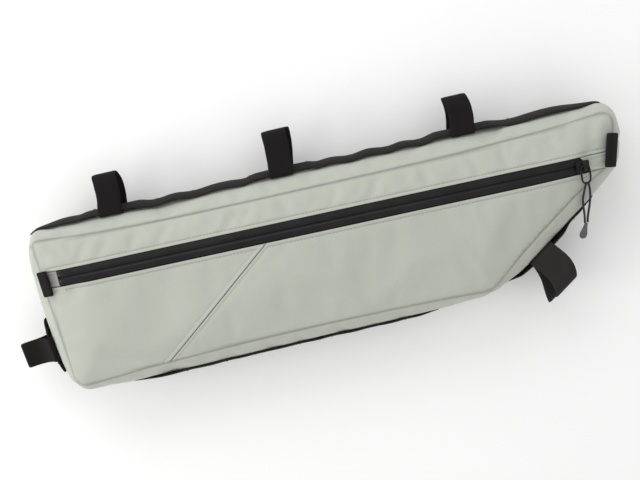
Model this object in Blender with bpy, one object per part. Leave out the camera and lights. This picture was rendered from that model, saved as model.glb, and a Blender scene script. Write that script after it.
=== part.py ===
"""Bicycle frame bag lying on its back panel: a long wedge of cloth walls, with a zip across its front,
webbing bands round its edges, three loops for the top tube, one for the down tube and one folded flat.
X runs along the bag, Y from its bottom edge to its top edge, Z from its back to its front."""
import math
import bmesh
import bpy
from mathutils import Matrix, Vector

# Outline of the seams, seen from the front: lengths and heights between its five corners
TOP_LENGTH = 0.478
TOP_RISE = 0.0045
LEFT_HEIGHT = 0.127
LEFT_LEAN = 0.007
BOTTOM_LENGTH = 0.350
BOTTOM_RISE = 0.0075
NOSE_HEIGHT = 0.041
NOSE_LEAN = 0.0096

# Thickness of the filled bag: seams lie between the back on the ground and the crown of the front
FRONT_SEAM_HEIGHT = 0.052
BACK_SEAM_HEIGHT = 0.008
FRONT_CROWN = 0.008
CROWN_REACH = 0.040
BACK_REACH = 0.024
WALL = 0.0012
GAP = 0.0003
STRAP_ROOM = 0.0006
SEAM_GAP = 0.0010
CROSS_SEAM_GAP = 0.0008
RIM_STEP = 0.0105
FRONT_STEP_ALONG = 0.0125
FRONT_STEP_ACROSS = 0.0105
BACK_STEP_ALONG = 0.023
BACK_STEP_ACROSS = 0.0165
CORNER_STEPS = 5
GUSSET_STEPS = 6
BAND_STEPS = 5

# Zip across the front, measured down from the top left corner and in from the left and right ends
ZIP_DROP = 0.0268
ZIP_WIDTH = 0.0133
ZIP_LEFT_INSET = 0.0165
ZIP_RIGHT_INSET = 0.0275
ZIP_CUT_LEAN = 0.55
DIAGONAL_TOP = 0.187
DIAGONAL_LEAN = 1.235

# Webbing bands and hook-and-loop straps
BAND_WIDTH = 0.025
BAND_THICKNESS = 0.0015
STRAP_THICKNESS = 0.002
TOP_STRAP_WIDTH = 0.020
TOP_STRAP_REACH = 0.031
SEAT_STRAP_WIDTH = 0.0215
SEAT_STRAP_REACH = 0.0285
DOWN_STRAP_WIDTH = 0.025
DOWN_STRAP_REACH = 0.035
DOWN_STRAP_LEAN = -0.25
LOOP_ROUNDING = 0.007
FOLDED_HALF = 0.0018

# Folded webbing tabs at both ends of the zip
TAB_LENGTH = 0.021
TAB_REACH = 0.0085
FINGER_LENGTH = 0.027
FINGER_REACH = 0.0095
TAB_THICKNESS = 0.0012
TAB_ROUNDING = 0.0011
FINGER_ROUNDING = 0.0022
FINGER_SINK = 0.0011
TAB_LIFT = 24
FINGER_LIFT = 34
TAB_PLACE = ("left", 0.223)
FINGER_PLACE = ("nose_low", 1.08)

# Slider, pull ring and cord
SLIDER_LENGTH = 0.0105
SLIDER_WIDTH = 0.0085
SLIDER_THICKNESS = 0.0026
SLIDER_ROUNDING = 0.0006
SLIDER_INSET = 0.0015
BRIDGE_THICKNESS = 0.0010
BRIDGE_HEIGHT = 0.0034
BRIDGE_WIDTH = 0.003
RING_LENGTH = 0.0145
RING_WIDTH = 0.0070
RING_WIRE = 0.0013
RING_SLOPE = 0.25
CORD_DIAMETER = 0.0018
CORD_END_LENGTH = 0.0155
CORD_END_WIDTH = 0.0062

MIDDLE = (FRONT_SEAM_HEIGHT + BACK_SEAM_HEIGHT) / 2
SEAM_HALF = (FRONT_SEAM_HEIGHT - BACK_SEAM_HEIGHT) / 2
# Corners, counterclockwise from the top left: name, place from the top left corner, seam radius, and
# how far the gusset bulges out past the seams there
TOP_LEFT = Vector((-0.228, 0.0521))
CORNERS = [
    ("top_left", TOP_LEFT, 0.005, 0.0075),
    ("bottom_left", TOP_LEFT + Vector((LEFT_LEAN, -LEFT_HEIGHT)), 0.010, 0.0085),
    ("bottom_right", TOP_LEFT + Vector((LEFT_LEAN + BOTTOM_LENGTH, BOTTOM_RISE - LEFT_HEIGHT)), 0.022, 0.0070),
    ("nose_low", TOP_LEFT + Vector((TOP_LENGTH - NOSE_LEAN, TOP_RISE - NOSE_HEIGHT)), 0.014, 0.0105),
    ("nose_top", TOP_LEFT + Vector((TOP_LENGTH, TOP_RISE)), 0.0095, 0.0070),
]

# Sides: the corner each starts from, its name, how far its middle is pulled in, how square the pull is,
# and the bulge of the gusset along its middle
SIDES = {
    "top_left": ("left", 0.0, 2.0, 0.0120),
    "bottom_left": ("bottom", 0.0048, 2.5, 0.0140),
    "bottom_right": ("slant", 0.0030, 2.5, 0.0150),
    "nose_low": ("nose", 0.0, 2.0, 0.0105),
    "nose_top": ("top", 0.0072, 3.5, 0.0145),
}
BULGE_SQUARENESS = 3.5

# Dents of the front: place as shares of the top length and left height from the top left corner,
# half length and half width as shares of the left height, turn in degrees, depth as a share of the crown
DENTS = [
    {"along": 0.105, "down": 0.115, "long": 0.16, "wide": 0.055, "turn": 62, "depth": 0.14},
    {"along": 0.330, "down": 0.120, "long": 0.17, "wide": 0.060, "turn": 50, "depth": 0.13},
    {"along": 0.560, "down": 0.110, "long": 0.16, "wide": 0.060, "turn": 60, "depth": 0.12},
    {"along": 0.770, "down": 0.115, "long": 0.18, "wide": 0.070, "turn": 120, "depth": 0.12},
    {"along": 0.180, "down": 0.620, "long": 0.34, "wide": 0.150, "turn": 40, "depth": 0.10},
    {"along": 0.560, "down": 0.640, "long": 0.60, "wide": 0.160, "turn": 8, "depth": 0.09},
    {"along": 0.955, "down": 0.230, "long": 0.10, "wide": 0.060, "turn": 80, "depth": 0.20},
]

# Straps on the gusset: name, side, share along it, width, reach, half depth at the far end, lean
STRAPS = [
    ("strap_top_1", "top", 0.8834, TOP_STRAP_WIDTH, TOP_STRAP_REACH, None, 0.0),
    ("strap_top_2", "top", 0.5588, TOP_STRAP_WIDTH, TOP_STRAP_REACH, None, 0.0),
    ("strap_top_3", "top", 0.2199, TOP_STRAP_WIDTH, TOP_STRAP_REACH, None, 0.0),
    ("strap_seat", "left", 0.8350, SEAT_STRAP_WIDTH, SEAT_STRAP_REACH, FOLDED_HALF, 0.0),
    ("strap_down", "slant", 0.2900, DOWN_STRAP_WIDTH, DOWN_STRAP_REACH, None, DOWN_STRAP_LEAN),
]

# Bands: name, side, first and last share of that side, side tacks as shares with the lift between them
BANDS = [
    ("band_top", "top", -0.02, 1.05, [-0.02, 0.13, 0.21, 0.30, 0.36, 0.43, 0.51, 0.62, 0.73, 0.80, 0.92, 1.05], 0.0018),
    ("band_left", "left", 0.52, 1.10, [0.52, 0.68, 0.98, 1.10], 0.0010),
    ("band_bottom", "bottom", 0.10, 0.90, [0.10, 0.22, 0.33, 0.41, 0.53, 0.62, 0.74, 0.82, 0.90], 0.0018),
    ("band_slant", "slant", 0.08, 0.93, [0.08, 0.22, 0.50, 0.66, 0.80, 0.93], 0.0012),
]

# Pull cord: the routes of its two strands, from the ring to the end piece, in the bag's own frame
CORD_ROUTES = {
    "pull_cord_left": [
        (0.2158, 0.0036, 0.0588), (0.2152, 0.0012, 0.0575), (0.2142, -0.0030, 0.0550), (0.2133, -0.0080, 0.0518),
        (0.2133, -0.0140, 0.0482), (0.2137, -0.0206, 0.0452), (0.2138, -0.0260, 0.0430), (0.2136, -0.0300, 0.0414),
    ],
    "pull_cord_right": [
        (0.2181, 0.0036, 0.0588), (0.2187, 0.0008, 0.0570), (0.2194, -0.0035, 0.0534), (0.2196, -0.0088, 0.0496),
        (0.2189, -0.0149, 0.0462), (0.2176, -0.0207, 0.0440), (0.2164, -0.0260, 0.0424), (0.2159, -0.0300, 0.0412),
    ],
}
CORD_END_MOUTH = (0.2147, -0.0306, 0.0411)
CORD_END_AIM = (0.2110, -0.0435, 0.0345)


def fabric(name, colour, roughness, metallic=0.0):
    """Principled material of one finish."""
    material = bpy.data.materials.new(name)
    material.use_nodes = True
    shader = material.node_tree.nodes["Principled BSDF"]
    shader.inputs["Base Color"].default_value = (*colour, 1.0)
    shader.inputs["Roughness"].default_value = roughness
    shader.inputs["Metallic"].default_value = metallic
    material.diffuse_color = (*colour, 1.0)
    return material


def add_object(name, data, material):
    """Puts one mesh or curve into the scene with its own copy of a material."""
    piece = bpy.data.objects.new(name, data)
    bpy.context.scene.collection.objects.link(piece)
    own = material.copy()
    own.name = name + "_finish"
    data.materials.append(own)
    return piece


def mesh_object(name, bm, material, wall=None, offset=-1.0):
    """Object from a bmesh; a wall turns an open sheet into a closed one of that thickness."""
    mesh = bpy.data.meshes.new(name)
    bm.to_mesh(mesh)
    bm.free()
    piece = add_object(name, mesh, material)
    if wall:
        solid = piece.modifiers.new("Wall", "SOLIDIFY")
        solid.thickness = wall
        solid.offset = offset
        solid.use_even_offset = True
    mesh.shade_smooth()
    mesh.set_sharp_from_angle(angle=math.radians(40))
    return piece


def left_of(direction):
    """Flat direction turned a quarter to the left, which points into a counterclockwise outline."""
    return Vector((-direction.y, direction.x))


def corner_arc(index):
    """Points of one rounded corner, counterclockwise."""
    _, place, radius, _ = CORNERS[index]
    into = (place - CORNERS[index - 1][1]).normalized()
    away = (CORNERS[(index + 1) % len(CORNERS)][1] - place).normalized()
    turn = into.angle(away)
    start = place - into * radius * math.tan(turn / 2)
    centre = start + left_of(into) * radius
    spoke = start - centre
    return [centre + Matrix.Rotation(turn * k / CORNER_STEPS, 2) @ spoke for k in range(CORNER_STEPS + 1)]


def side_points(start, end, pull, squareness):
    """Points of one side without its ends; the fill of the bag pulls its middle inwards."""
    run = end - start
    count = max(2, round(run.length / RIM_STEP))
    points = []
    for k in range(1, count):
        share = k / count
        drawn = pull * (1 - abs(2 * share - 1) ** squareness)
        points.append(start + run * share + left_of(run.normalized()) * drawn)
    return points


def trace_rim():
    """Seam outline as {run name: points}, in counterclockwise order."""
    arcs = [corner_arc(i) for i in range(len(CORNERS))]
    runs = {}
    for i, (corner, _, _, _) in enumerate(CORNERS):
        side, pull, squareness, _ = SIDES[corner]
        runs[corner] = arcs[i]
        runs[side] = side_points(arcs[i][-1], arcs[(i + 1) % len(arcs)][0], pull, squareness)
    return runs


def trace_bulges():
    """Bulge of the gusset at each point of the rim: full along the sides, less round the corners."""
    bulges = []
    for i, (corner, _, _, here) in enumerate(CORNERS):
        side, _, _, full = SIDES[corner]
        there = CORNERS[(i + 1) % len(CORNERS)][3]
        bulges += [here] * len(RIM_RUNS[corner])
        count = len(RIM_RUNS[side]) + 1
        for k in range(1, count):
            share = k / count
            ends = here + (there - here) * share
            bulges.append(ends + (full - ends) * (1 - abs(2 * share - 1) ** BULGE_SQUARENESS))
    return bulges


RIM_RUNS = trace_rim()
RIM = [point for points in RIM_RUNS.values() for point in points]
BULGES = trace_bulges()


def rim_index(run, share):
    """Index in RIM of the point that lies at a share of a run."""
    first = 0
    for name, points in RIM_RUNS.items():
        if name == run:
            return first + round(share * (len(points) - 1))
        first += len(points)


def rim_section(index):
    """Point, outward normal and forward direction of the rim at an index, which may be fractional."""
    low = math.floor(index)
    a = RIM[low % len(RIM)]
    b = RIM[(low + 1) % len(RIM)]
    before = RIM[(low - 1) % len(RIM)]
    after = RIM[(low + 2) % len(RIM)]
    share = index - low
    forward = ((b - before).normalized().lerp((after - a).normalized(), share)).normalized()
    return a.lerp(b, share), -left_of(forward), forward


def rim_distance(x, y):
    """Shortest flat distance from a point to the seam outline."""
    p = Vector((x, y))
    best = 1.0
    for a, b in zip(RIM, RIM[1:] + RIM[:1]):
        edge = b - a
        share = min(1.0, max(0.0, (p - a).dot(edge) / edge.length_squared))
        best = min(best, (p - a - edge * share).length)
    return best


def dent_depth(x, y):
    """How far the dents of the front lie below its crown at a point."""
    depth = 0.0
    for dent in DENTS:
        place = TOP_LEFT + Vector((TOP_LENGTH * dent["along"], -LEFT_HEIGHT * dent["down"]))
        local = Matrix.Rotation(-math.radians(dent["turn"]), 2) @ (Vector((x, y)) - place)
        spread = (local.x / (LEFT_HEIGHT * dent["long"])) ** 2 + (local.y / (LEFT_HEIGHT * dent["wide"])) ** 2
        depth += FRONT_CROWN * dent["depth"] * math.exp(-spread)
    return depth


def front_height(x, y):
    """Height of the outer face of the front: it rises from the seam to its crown, with soft dents."""
    inward = min(1.0, rim_distance(x, y) / CROWN_REACH)
    rise = 1 - (1 - inward) ** 2
    return FRONT_SEAM_HEIGHT + FRONT_CROWN * rise - dent_depth(x, y) * min(1.0, 3 * inward)


def back_height(x, y):
    """Height of the outer face of the back: flat on the ground, and up to the seam round its edge."""
    inward = min(1.0, rim_distance(x, y) / BACK_REACH)
    return BACK_SEAM_HEIGHT * (1 - inward) ** 2


def cut(bm, point, normal, clear=False):
    """Cuts a flat sheet along a line; clear drops the part that the normal points to."""
    geometry = bm.verts[:] + bm.edges[:] + bm.faces[:]
    bmesh.ops.bisect_plane(bm, geom=geometry, dist=1e-7, plane_co=(*point, 0), plane_no=(*normal, 0),
                           clear_outer=clear)


def even_cuts(places, step):
    """Evenly spaced cuts between the lowest and highest of some places, which are left out."""
    low = min(places)
    high = max(places)
    count = max(2, round((high - low) / step))
    return [low + (high - low) * k / count for k in range(1, count)]


def outline_sheet(step_along, step_across):
    """Flat face inside the seams, cut into a grid."""
    bm = bmesh.new()
    bm.faces.new([bm.verts.new((*point, 0)) for point in RIM])
    for x in even_cuts([p.x for p in RIM], step_along):
        cut(bm, (x, 0), (1, 0))
    for y in even_cuts([p.y for p in RIM], step_across):
        cut(bm, (0, y), (0, 1))
    bmesh.ops.remove_doubles(bm, verts=bm.verts, dist=1e-6)
    return bm


def front_piece(name, borders, material):
    """Piece of the front sheet between straight borders, each a point and a normal that points out of it."""
    bm = outline_sheet(FRONT_STEP_ALONG, FRONT_STEP_ACROSS)
    for point, normal in borders:
        cut(bm, Vector(point) - Vector(normal).normalized() * GAP / 2, normal, clear=True)
    for vert in bm.verts:
        vert.co.z = front_height(vert.co.x, vert.co.y)
    return mesh_object(name, bm, material, WALL)


def build_front(cloth, black):
    """Panels above and below the zip, the zip itself and the cloth at its two ends."""
    zip_top = TOP_LEFT.y - ZIP_DROP
    zip_low = zip_top - ZIP_WIDTH
    zip_left = TOP_LEFT.x + ZIP_LEFT_INSET
    zip_right = TOP_LEFT.x + TOP_LENGTH - ZIP_RIGHT_INSET
    diagonal = (TOP_LEFT.x + DIAGONAL_TOP, zip_low)
    diagonal_out = (1.0, -DIAGONAL_LEAN)
    right_cut = (1.0, ZIP_CUT_LEAN)
    above = ((0, zip_top), (0, 1))
    below = ((0, zip_low), (0, -1))
    front_piece("panel_upper", [((0, zip_top), (0, -1))], cloth)
    front_piece("panel_lower_left", [((0, zip_low), (0, 1)), (diagonal, diagonal_out)], cloth)
    front_piece("panel_lower_right", [((0, zip_low), (0, 1)), (diagonal, (-1.0, DIAGONAL_LEAN))], cloth)
    front_piece("zip_tape", [above, below, ((zip_left, 0), (-1, 0)), ((zip_right, zip_low), right_cut)], black)
    front_piece("zip_end_left", [above, below, ((zip_left, 0), (1, 0))], cloth)
    front_piece("zip_end_right", [above, below, ((zip_right, zip_low), (-1.0, -ZIP_CUT_LEAN))], cloth)


def build_back(cloth):
    """Back panel, flat where it rests on the ground."""
    bm = outline_sheet(BACK_STEP_ALONG, BACK_STEP_ACROSS)
    for vert in bm.verts:
        vert.co.z = back_height(vert.co.x, vert.co.y)
    bmesh.ops.reverse_faces(bm, faces=bm.faces)
    mesh_object("back_panel", bm, cloth, WALL)


def strip(name, first, last, columns, rows, surface, material, wall):
    """Closed strip along the rim: surface(section index, share across) places its outer face."""
    bm = bmesh.new()
    bmesh.ops.create_grid(bm, x_segments=columns, y_segments=rows, size=1.0)
    for vert in bm.verts:
        along = (vert.co.x + 1) / 2
        across = (vert.co.y + 1) / 2
        vert.co = surface(first + (last - first) * along, across)
    return mesh_object(name, bm, material, wall)


def gusset_arc(index):
    """Round section of the gusset at a rim index: radius, centre outwards from the rim, half angle."""
    low = math.floor(index)
    share = index - low
    bulge = BULGES[low % len(RIM)] * (1 - share) + BULGES[(low + 1) % len(RIM)] * share
    radius = (SEAM_HALF ** 2 + bulge ** 2) / (2 * bulge)
    return radius, bulge - radius, math.asin(SEAM_HALF / radius)


def arc_point(index, angle, clear):
    """Point at an angle up from the gusset's middle, a distance clear of its outer face."""
    place, normal, _ = rim_section(index)
    radius, centre, _ = gusset_arc(index)
    flat = place + normal * (centre + (radius + clear) * math.cos(angle))
    return Vector((*flat, MIDDLE + (radius + clear) * math.sin(angle)))


def gusset(name, first, last, material):
    """Side wall of the bag between two rim indices, bulging outwards between its two seams."""
    ends = {first: 1, last: -1}

    def surface(index, across):
        radius, _, half = gusset_arc(index)
        point = arc_point(index, (half - SEAM_GAP / radius) * (2 * across - 1), 0.0)
        if round(index, 6) in ends:
            forward = rim_section(index)[2]
            point += Vector((*forward, 0)) * CROSS_SEAM_GAP / 2 * ends[round(index, 6)]
        return point

    return strip(name, first, last, last - first, GUSSET_STEPS, surface, material, WALL)


def build_gussets(cloth):
    """Four side walls that meet at cross seams near the corners."""
    joints = [rim_index("top_left", 1.0), rim_index("bottom_left", 0.5), rim_index("bottom_right", 0.5),
              rim_index("nose", 0.5), rim_index("top_left", 1.0) + len(RIM)]
    names = ["gusset_left", "gusset_bottom", "gusset_slant", "gusset_top"]
    for name, first, last in zip(names, joints, joints[1:]):
        gusset(name, first, last, cloth)


def band_lift(side, share, tacks, lift, side_length):
    """How far a band stands off the gusset: over straps, and in the waves between its tacks."""
    wave = 0.0
    for low, high in zip(tacks, tacks[1:]):
        if low < share < high:
            wave = lift * math.sin(math.pi * (share - low) / (high - low)) ** 2
    cover = STRAP_THICKNESS + STRAP_ROOM
    for _, strap_side, strap_share, width, _, _, _ in STRAPS:
        if strap_side == side:
            past = abs(share - strap_share) * side_length - width / 2 - RIM_STEP
            fall = min(1.0, max(0.0, past / (1.3 * RIM_STEP)))
            wave = max(wave, cover * (1 - fall * fall * (3 - 2 * fall)))
    return wave


def build_bands(webbing):
    """Webbing along the crown of the gusset, tacked down at intervals."""
    for name, side, start, end, tacks, lift in BANDS:
        first = rim_index(side, start)
        last = rim_index(side, end)
        origin = rim_index(side, 0)
        count = len(RIM_RUNS[side]) - 1
        side_length = sum((b - a).length for a, b in zip(RIM_RUNS[side], RIM_RUNS[side][1:]))

        def surface(index, across, side=side, tacks=tacks, lift=lift, origin=origin, count=count,
                    side_length=side_length):
            share = (index - origin) / count
            clear = GAP + BAND_THICKNESS + band_lift(side, share, tacks, lift, side_length)
            half = (BAND_WIDTH / 2) / (gusset_arc(index)[0] + clear)
            return arc_point(index, half * (2 * across - 1), clear)

        strip(name, first, last, last - first, BAND_STEPS, surface, webbing, BAND_THICKNESS)


def strap_profile(arc, reach, tip_half):
    """Closed centre line of a strap loop: outward distance from the rim, height from the middle.
    It runs under the band along the gusset, folds round the band's two edges and meets far out."""
    radius, middle, _ = arc
    base = radius + GAP + STRAP_THICKNESS / 2
    fold = STRAP_ROOM + BAND_THICKNESS / 2 + STRAP_THICKNESS / 2
    edge = (BAND_WIDTH / 2) / (radius + GAP + BAND_THICKNESS + STRAP_THICKNESS + STRAP_ROOM)
    fold_at = Vector((middle + (base + fold) * math.cos(edge), (base + fold) * math.sin(edge)))
    upper = []
    for k in range(4):
        angle = edge * k / 4
        upper.append(Vector((middle + base * math.cos(angle), base * math.sin(angle))))
    sweep = math.pi / 2 + edge
    for k in range(5):
        angle = math.pi + edge - sweep * k / 4
        upper.append(fold_at + Vector((math.cos(angle), math.sin(angle))) * fold)
    leg = upper[-1]
    far = middle + radius + reach
    if tip_half is None:
        rounding = LOOP_ROUNDING
        upper += [Vector((leg.x + (far - rounding - leg.x) * share, leg.y)) for share in (0.35, 0.7)]
        corner = Vector((far - rounding, leg.y - rounding))
        for k in range(5):
            angle = math.pi / 2 * (1 - k / 4)
            upper.append(corner + Vector((math.cos(angle), math.sin(angle))) * rounding)
    else:
        for share, height in ((0.22, 0.72), (0.42, 0.30), (0.62, 0.05), (0.82, 0.0)):
            upper.append(Vector((leg.x + (far - leg.x) * share, tip_half + (leg.y - tip_half) * height)))
        for k in range(3):
            angle = math.pi / 2 * (1 - k / 3)
            upper.append(Vector((far - tip_half, 0)) + Vector((math.cos(angle), math.sin(angle))) * tip_half)
        upper.append(Vector((far, 0)))
    lower = [Vector((p.x, -p.y)) for p in reversed(upper) if p.y > 1e-6]
    return upper + lower


def loop_band(name, centre_line, width, thickness, material):
    """Closed ring of webbing: a closed centre line carried along a width, with a wall on both sides."""
    bm = bmesh.new()
    verts = [bm.verts.new(point) for point in centre_line]
    edges = [bm.edges.new(pair) for pair in zip(verts, verts[1:] + verts[:1])]
    side = bmesh.ops.extrude_edge_only(bm, edges=edges)["geom"]
    bmesh.ops.translate(bm, verts=[g for g in side if isinstance(g, bmesh.types.BMVert)], vec=width)
    bmesh.ops.recalc_face_normals(bm, faces=bm.faces)
    return mesh_object(name, bm, material, thickness, offset=0.0)


def crown_point(index):
    """Outermost place of the gusset at a rim index, seen from the front."""
    place, normal, _ = rim_section(index)
    radius, centre, _ = gusset_arc(index)
    return place + normal * (radius + centre)


def build_straps(hook_and_loop):
    """Strap loops that pass under a band, square to the crown of the gusset."""
    for name, side, share, width, reach, tip_half, lean in STRAPS:
        index = rim_index(side, 0) + share * (len(RIM_RUNS[side]) - 1)
        half_width = width / 2 / (rim_section(index + 0.5)[0] - rim_section(index - 0.5)[0]).length
        first = crown_point(index - half_width)
        last = crown_point(index + half_width)
        forward = (last - first).normalized()
        outward = -left_of(forward)
        arc = gusset_arc(index)
        stand = max((crown_point(index) - first).dot(outward), 0.0)
        place = (first + last) / 2 + outward * (stand - arc[0] - arc[1])
        points = []
        for out, height in strap_profile(arc, reach, tip_half):
            slide = lean * max(0.0, out - arc[0] - arc[1])
            flat = place + outward * out + forward * (slide - width / 2)
            points.append(Vector((*flat, MIDDLE + height)))
        loop_band(name, points, Vector((*(forward * width), 0)), STRAP_THICKNESS, hook_and_loop)


def stadium(reach, rounding):
    """Closed centre line of webbing folded double: along its reach, and height from its middle."""
    points = []
    for centre, start in ((reach - rounding, -90), (rounding, 90)):
        for k in range(5):
            angle = math.radians(start + 180 * k / 4)
            points.append(Vector((centre + rounding * math.cos(angle), rounding * math.sin(angle))))
    return points


def folded_tab(name, spot, length, reach, rounding, lift_degrees, sink, material):
    """Webbing folded double that comes out of a seam and leans in over the front; where the front falls
    away from it, it sinks onto it."""
    run, share = spot
    lift = math.radians(lift_degrees)
    index = rim_index(run, 0) + share * (len(RIM_RUNS[run]) - 1)
    place, normal, forward = rim_section(index)
    root = place + normal * GAP
    seat = Vector((*root, front_height(*(place - normal * 0.001)) - sink))
    lean = Vector((*(-normal * math.cos(lift)), math.sin(lift)))
    up = Vector((*(normal * math.sin(lift)), math.cos(lift)))
    seat += up * (GAP + TAB_THICKNESS / 2 + rounding)
    points = [seat + lean * out + up * height - Vector((*(forward * length / 2), 0))
              for out, height in stadium(reach, rounding)]
    return loop_band(name, points, Vector((*(forward * length), 0)), TAB_THICKNESS, material)


def build_slider(metal):
    """Slider with its bridge, and the pull ring that hangs in the bridge."""
    middle_y = TOP_LEFT.y - ZIP_DROP - ZIP_WIDTH / 2
    x = TOP_LEFT.x + TOP_LENGTH - ZIP_RIGHT_INSET - SLIDER_LENGTH / 2 - SLIDER_INSET
    corners = [(x + dx * SLIDER_LENGTH / 2, middle_y + dy * SLIDER_WIDTH / 2) for dx in (-1, 0, 1) for dy in (-1, 0, 1)]
    floor = max(front_height(*corner) for corner in corners) + GAP
    bm = bmesh.new()
    bmesh.ops.create_cube(bm, size=1.0)
    bmesh.ops.scale(bm, vec=(SLIDER_LENGTH, SLIDER_WIDTH, SLIDER_THICKNESS), verts=bm.verts)
    bmesh.ops.bevel(bm, geom=bm.edges[:], affect="EDGES", offset=SLIDER_ROUNDING, segments=2, profile=0.5, material=-1)
    bmesh.ops.translate(bm, vec=(x, middle_y, floor + SLIDER_THICKNESS / 2), verts=bm.verts)
    body = mesh_object("zip_slider", bm, metal)
    half = SLIDER_WIDTH * 0.38
    top = floor + SLIDER_THICKNESS
    ring_x = x + 0.001
    arch = [(-half, -0.0009), (-half, BRIDGE_HEIGHT * 0.55), (-half * 0.5, BRIDGE_HEIGHT),
            (half * 0.5, BRIDGE_HEIGHT), (half, BRIDGE_HEIGHT * 0.55), (half, -0.0009)]
    line = [Vector((ring_x - BRIDGE_WIDTH / 2, middle_y + dy, top + dz)) for dy, dz in arch]
    bridge = loop_band("bridge_shape", line, Vector((BRIDGE_WIDTH, 0, 0)), BRIDGE_THICKNESS, metal)
    bridge.hide_render = True
    bridge.display_type = "WIRE"
    join = body.modifiers.new("Bridge", "BOOLEAN")
    join.operation = "UNION"
    join.object = bridge
    ring_z = top + BRIDGE_HEIGHT - BRIDGE_THICKNESS / 2 - GAP - RING_WIRE / 2
    across = RING_WIDTH / 2
    ring = [(-across, -0.6), (-across, 0.55), (-across * 0.75, 0.9), (0, 1.0), (across * 0.75, 0.9), (across, 0.55),
            (across, -0.6), (across * 0.75, -0.9), (0, -1.0), (-across * 0.75, -0.9)]
    centre_y = middle_y - RING_LENGTH / 2 + 0.0006
    points = [Vector((ring_x + dx, centre_y + share * RING_LENGTH / 2,
                      ring_z - RING_SLOPE * (1 - share) * RING_LENGTH / 2)) for dx, share in ring]
    return tube("pull_ring", points, RING_WIRE, metal, 2, cyclic=True)


def tube(name, points, diameter, material, resolution, cyclic=False):
    """Round tube through points."""
    curve = bpy.data.curves.new(name, "CURVE")
    curve.dimensions = "3D"
    curve.bevel_depth = diameter / 2
    curve.bevel_resolution = resolution
    curve.use_fill_caps = not cyclic
    spline = curve.splines.new("POLY")
    spline.points.add(len(points) - 1)
    for target, point in zip(spline.points, points):
        target.co = (*point, 1.0)
    spline.use_cyclic_u = cyclic
    return add_object(name, curve, material)


def smooth_route(points, steps):
    """Even points on a Catmull-Rom curve through a cord's route."""
    ends = [points[0] * 2 - points[1]] + points + [points[-1] * 2 - points[-2]]
    route = []
    for a, b, c, d in zip(ends, ends[1:], ends[2:], ends[3:]):
        for k in range(steps):
            t = k / steps
            route.append(0.5 * (2 * b + (c - a) * t + (2 * a - 5 * b + 4 * c - d) * t ** 2
                                + (3 * b - a - 3 * c + d) * t ** 3))
    return route + [points[-1]]


def build_cord(cord_material, end_material):
    """Pull cord of two strands and the moulded end piece that joins them."""
    for name, points in CORD_ROUTES.items():
        tube(name, smooth_route([Vector(p) for p in points], 2), CORD_DIAMETER, cord_material, 2)
    mouth = Vector(CORD_END_MOUTH)
    aim = (Vector(CORD_END_AIM) - mouth).normalized()
    bm = bmesh.new()
    rows = [(0.0, 0.42), (0.2, 0.50), (0.5, 0.82), (0.75, 1.0), (0.92, 0.84), (1.0, 0.45)]
    rings = []
    for share, width in rows:
        ring = bmesh.ops.create_circle(bm, cap_ends=share in (0.0, 1.0), segments=10, radius=CORD_END_WIDTH / 2)
        bmesh.ops.scale(bm, vec=(width, width * 0.6, 1), verts=ring["verts"])
        bmesh.ops.translate(bm, vec=(0, 0, share * CORD_END_LENGTH), verts=ring["verts"])
        rings.append([e for v in ring["verts"] for e in v.link_edges])
    for a, b in zip(rings, rings[1:]):
        bmesh.ops.bridge_loops(bm, edges=list(set(a + b)))
    turn = aim.to_track_quat("Z", "Y").to_matrix().to_4x4()
    bmesh.ops.transform(bm, matrix=Matrix.Translation(mouth) @ turn, verts=bm.verts)
    bmesh.ops.recalc_face_normals(bm, faces=bm.faces)
    mesh_object("cord_end", bm, end_material)


def settle():
    """Moves the bag so that its box, without the pull cord, stands centred over the origin."""
    bpy.context.view_layer.update()
    depsgraph = bpy.context.evaluated_depsgraph_get()
    low = Vector((1.0, 1.0, 1.0))
    high = -low
    for piece in bpy.context.scene.objects:
        if piece.hide_render or piece.name.startswith(("pull_cord", "cord_end")):
            continue
        evaluated = piece.evaluated_get(depsgraph)
        mesh = evaluated.to_mesh()
        for vert in mesh.vertices:
            point = piece.matrix_world @ vert.co
            low = Vector(map(min, low, point))
            high = Vector(map(max, high, point))
        evaluated.to_mesh_clear()
    shift = Vector((-(low.x + high.x) / 2, -(low.y + high.y) / 2, -low.z))
    for piece in bpy.context.scene.objects:
        piece.location += shift
    print("bag box", tuple(round(v, 4) for v in high - low), "moved by", tuple(round(v, 5) for v in shift))


def build():
    for old in list(bpy.data.objects):
        bpy.data.objects.remove(old, do_unlink=True)
    cloth = fabric("cloth", (0.48, 0.52, 0.45), 0.85)
    zip_black = fabric("coated_zip", (0.012, 0.011, 0.012), 0.35)
    webbing = fabric("webbing", (0.030, 0.029, 0.028), 0.75)
    hook_and_loop = fabric("hook_and_loop", (0.014, 0.012, 0.013), 0.9)
    metal = fabric("painted_metal", (0.015, 0.015, 0.016), 0.3, 0.6)
    cord = fabric("cord", (0.02, 0.02, 0.02), 0.7)
    rubber = fabric("rubber", (0.08, 0.08, 0.08), 0.6)
    build_front(cloth, zip_black)
    build_back(cloth)
    build_gussets(cloth)
    build_bands(webbing)
    build_straps(hook_and_loop)
    folded_tab("zip_end_tab", TAB_PLACE, TAB_LENGTH, TAB_REACH, TAB_ROUNDING, TAB_LIFT, 0.0, webbing)
    folded_tab("finger_loop", FINGER_PLACE, FINGER_LENGTH, FINGER_REACH, FINGER_ROUNDING, FINGER_LIFT, FINGER_SINK,
               webbing)
    build_slider(metal)
    build_cord(cord, rubber)
    settle()


build()
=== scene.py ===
# %% [markdown]
# # Dressing a bicycle frame bag
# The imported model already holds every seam, strap and fitting in its right place. What it lacks is cloth:
# weave, thread, creases and shine. Each cell below takes one kind of piece, builds it at the model's own
# size, and gives it a finish made from nodes.

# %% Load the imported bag
import math
import bmesh
import bpy
from mathutils import Matrix, Vector
from mathutils.kdtree import KDTree
from mathutils.noise import noise


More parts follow.
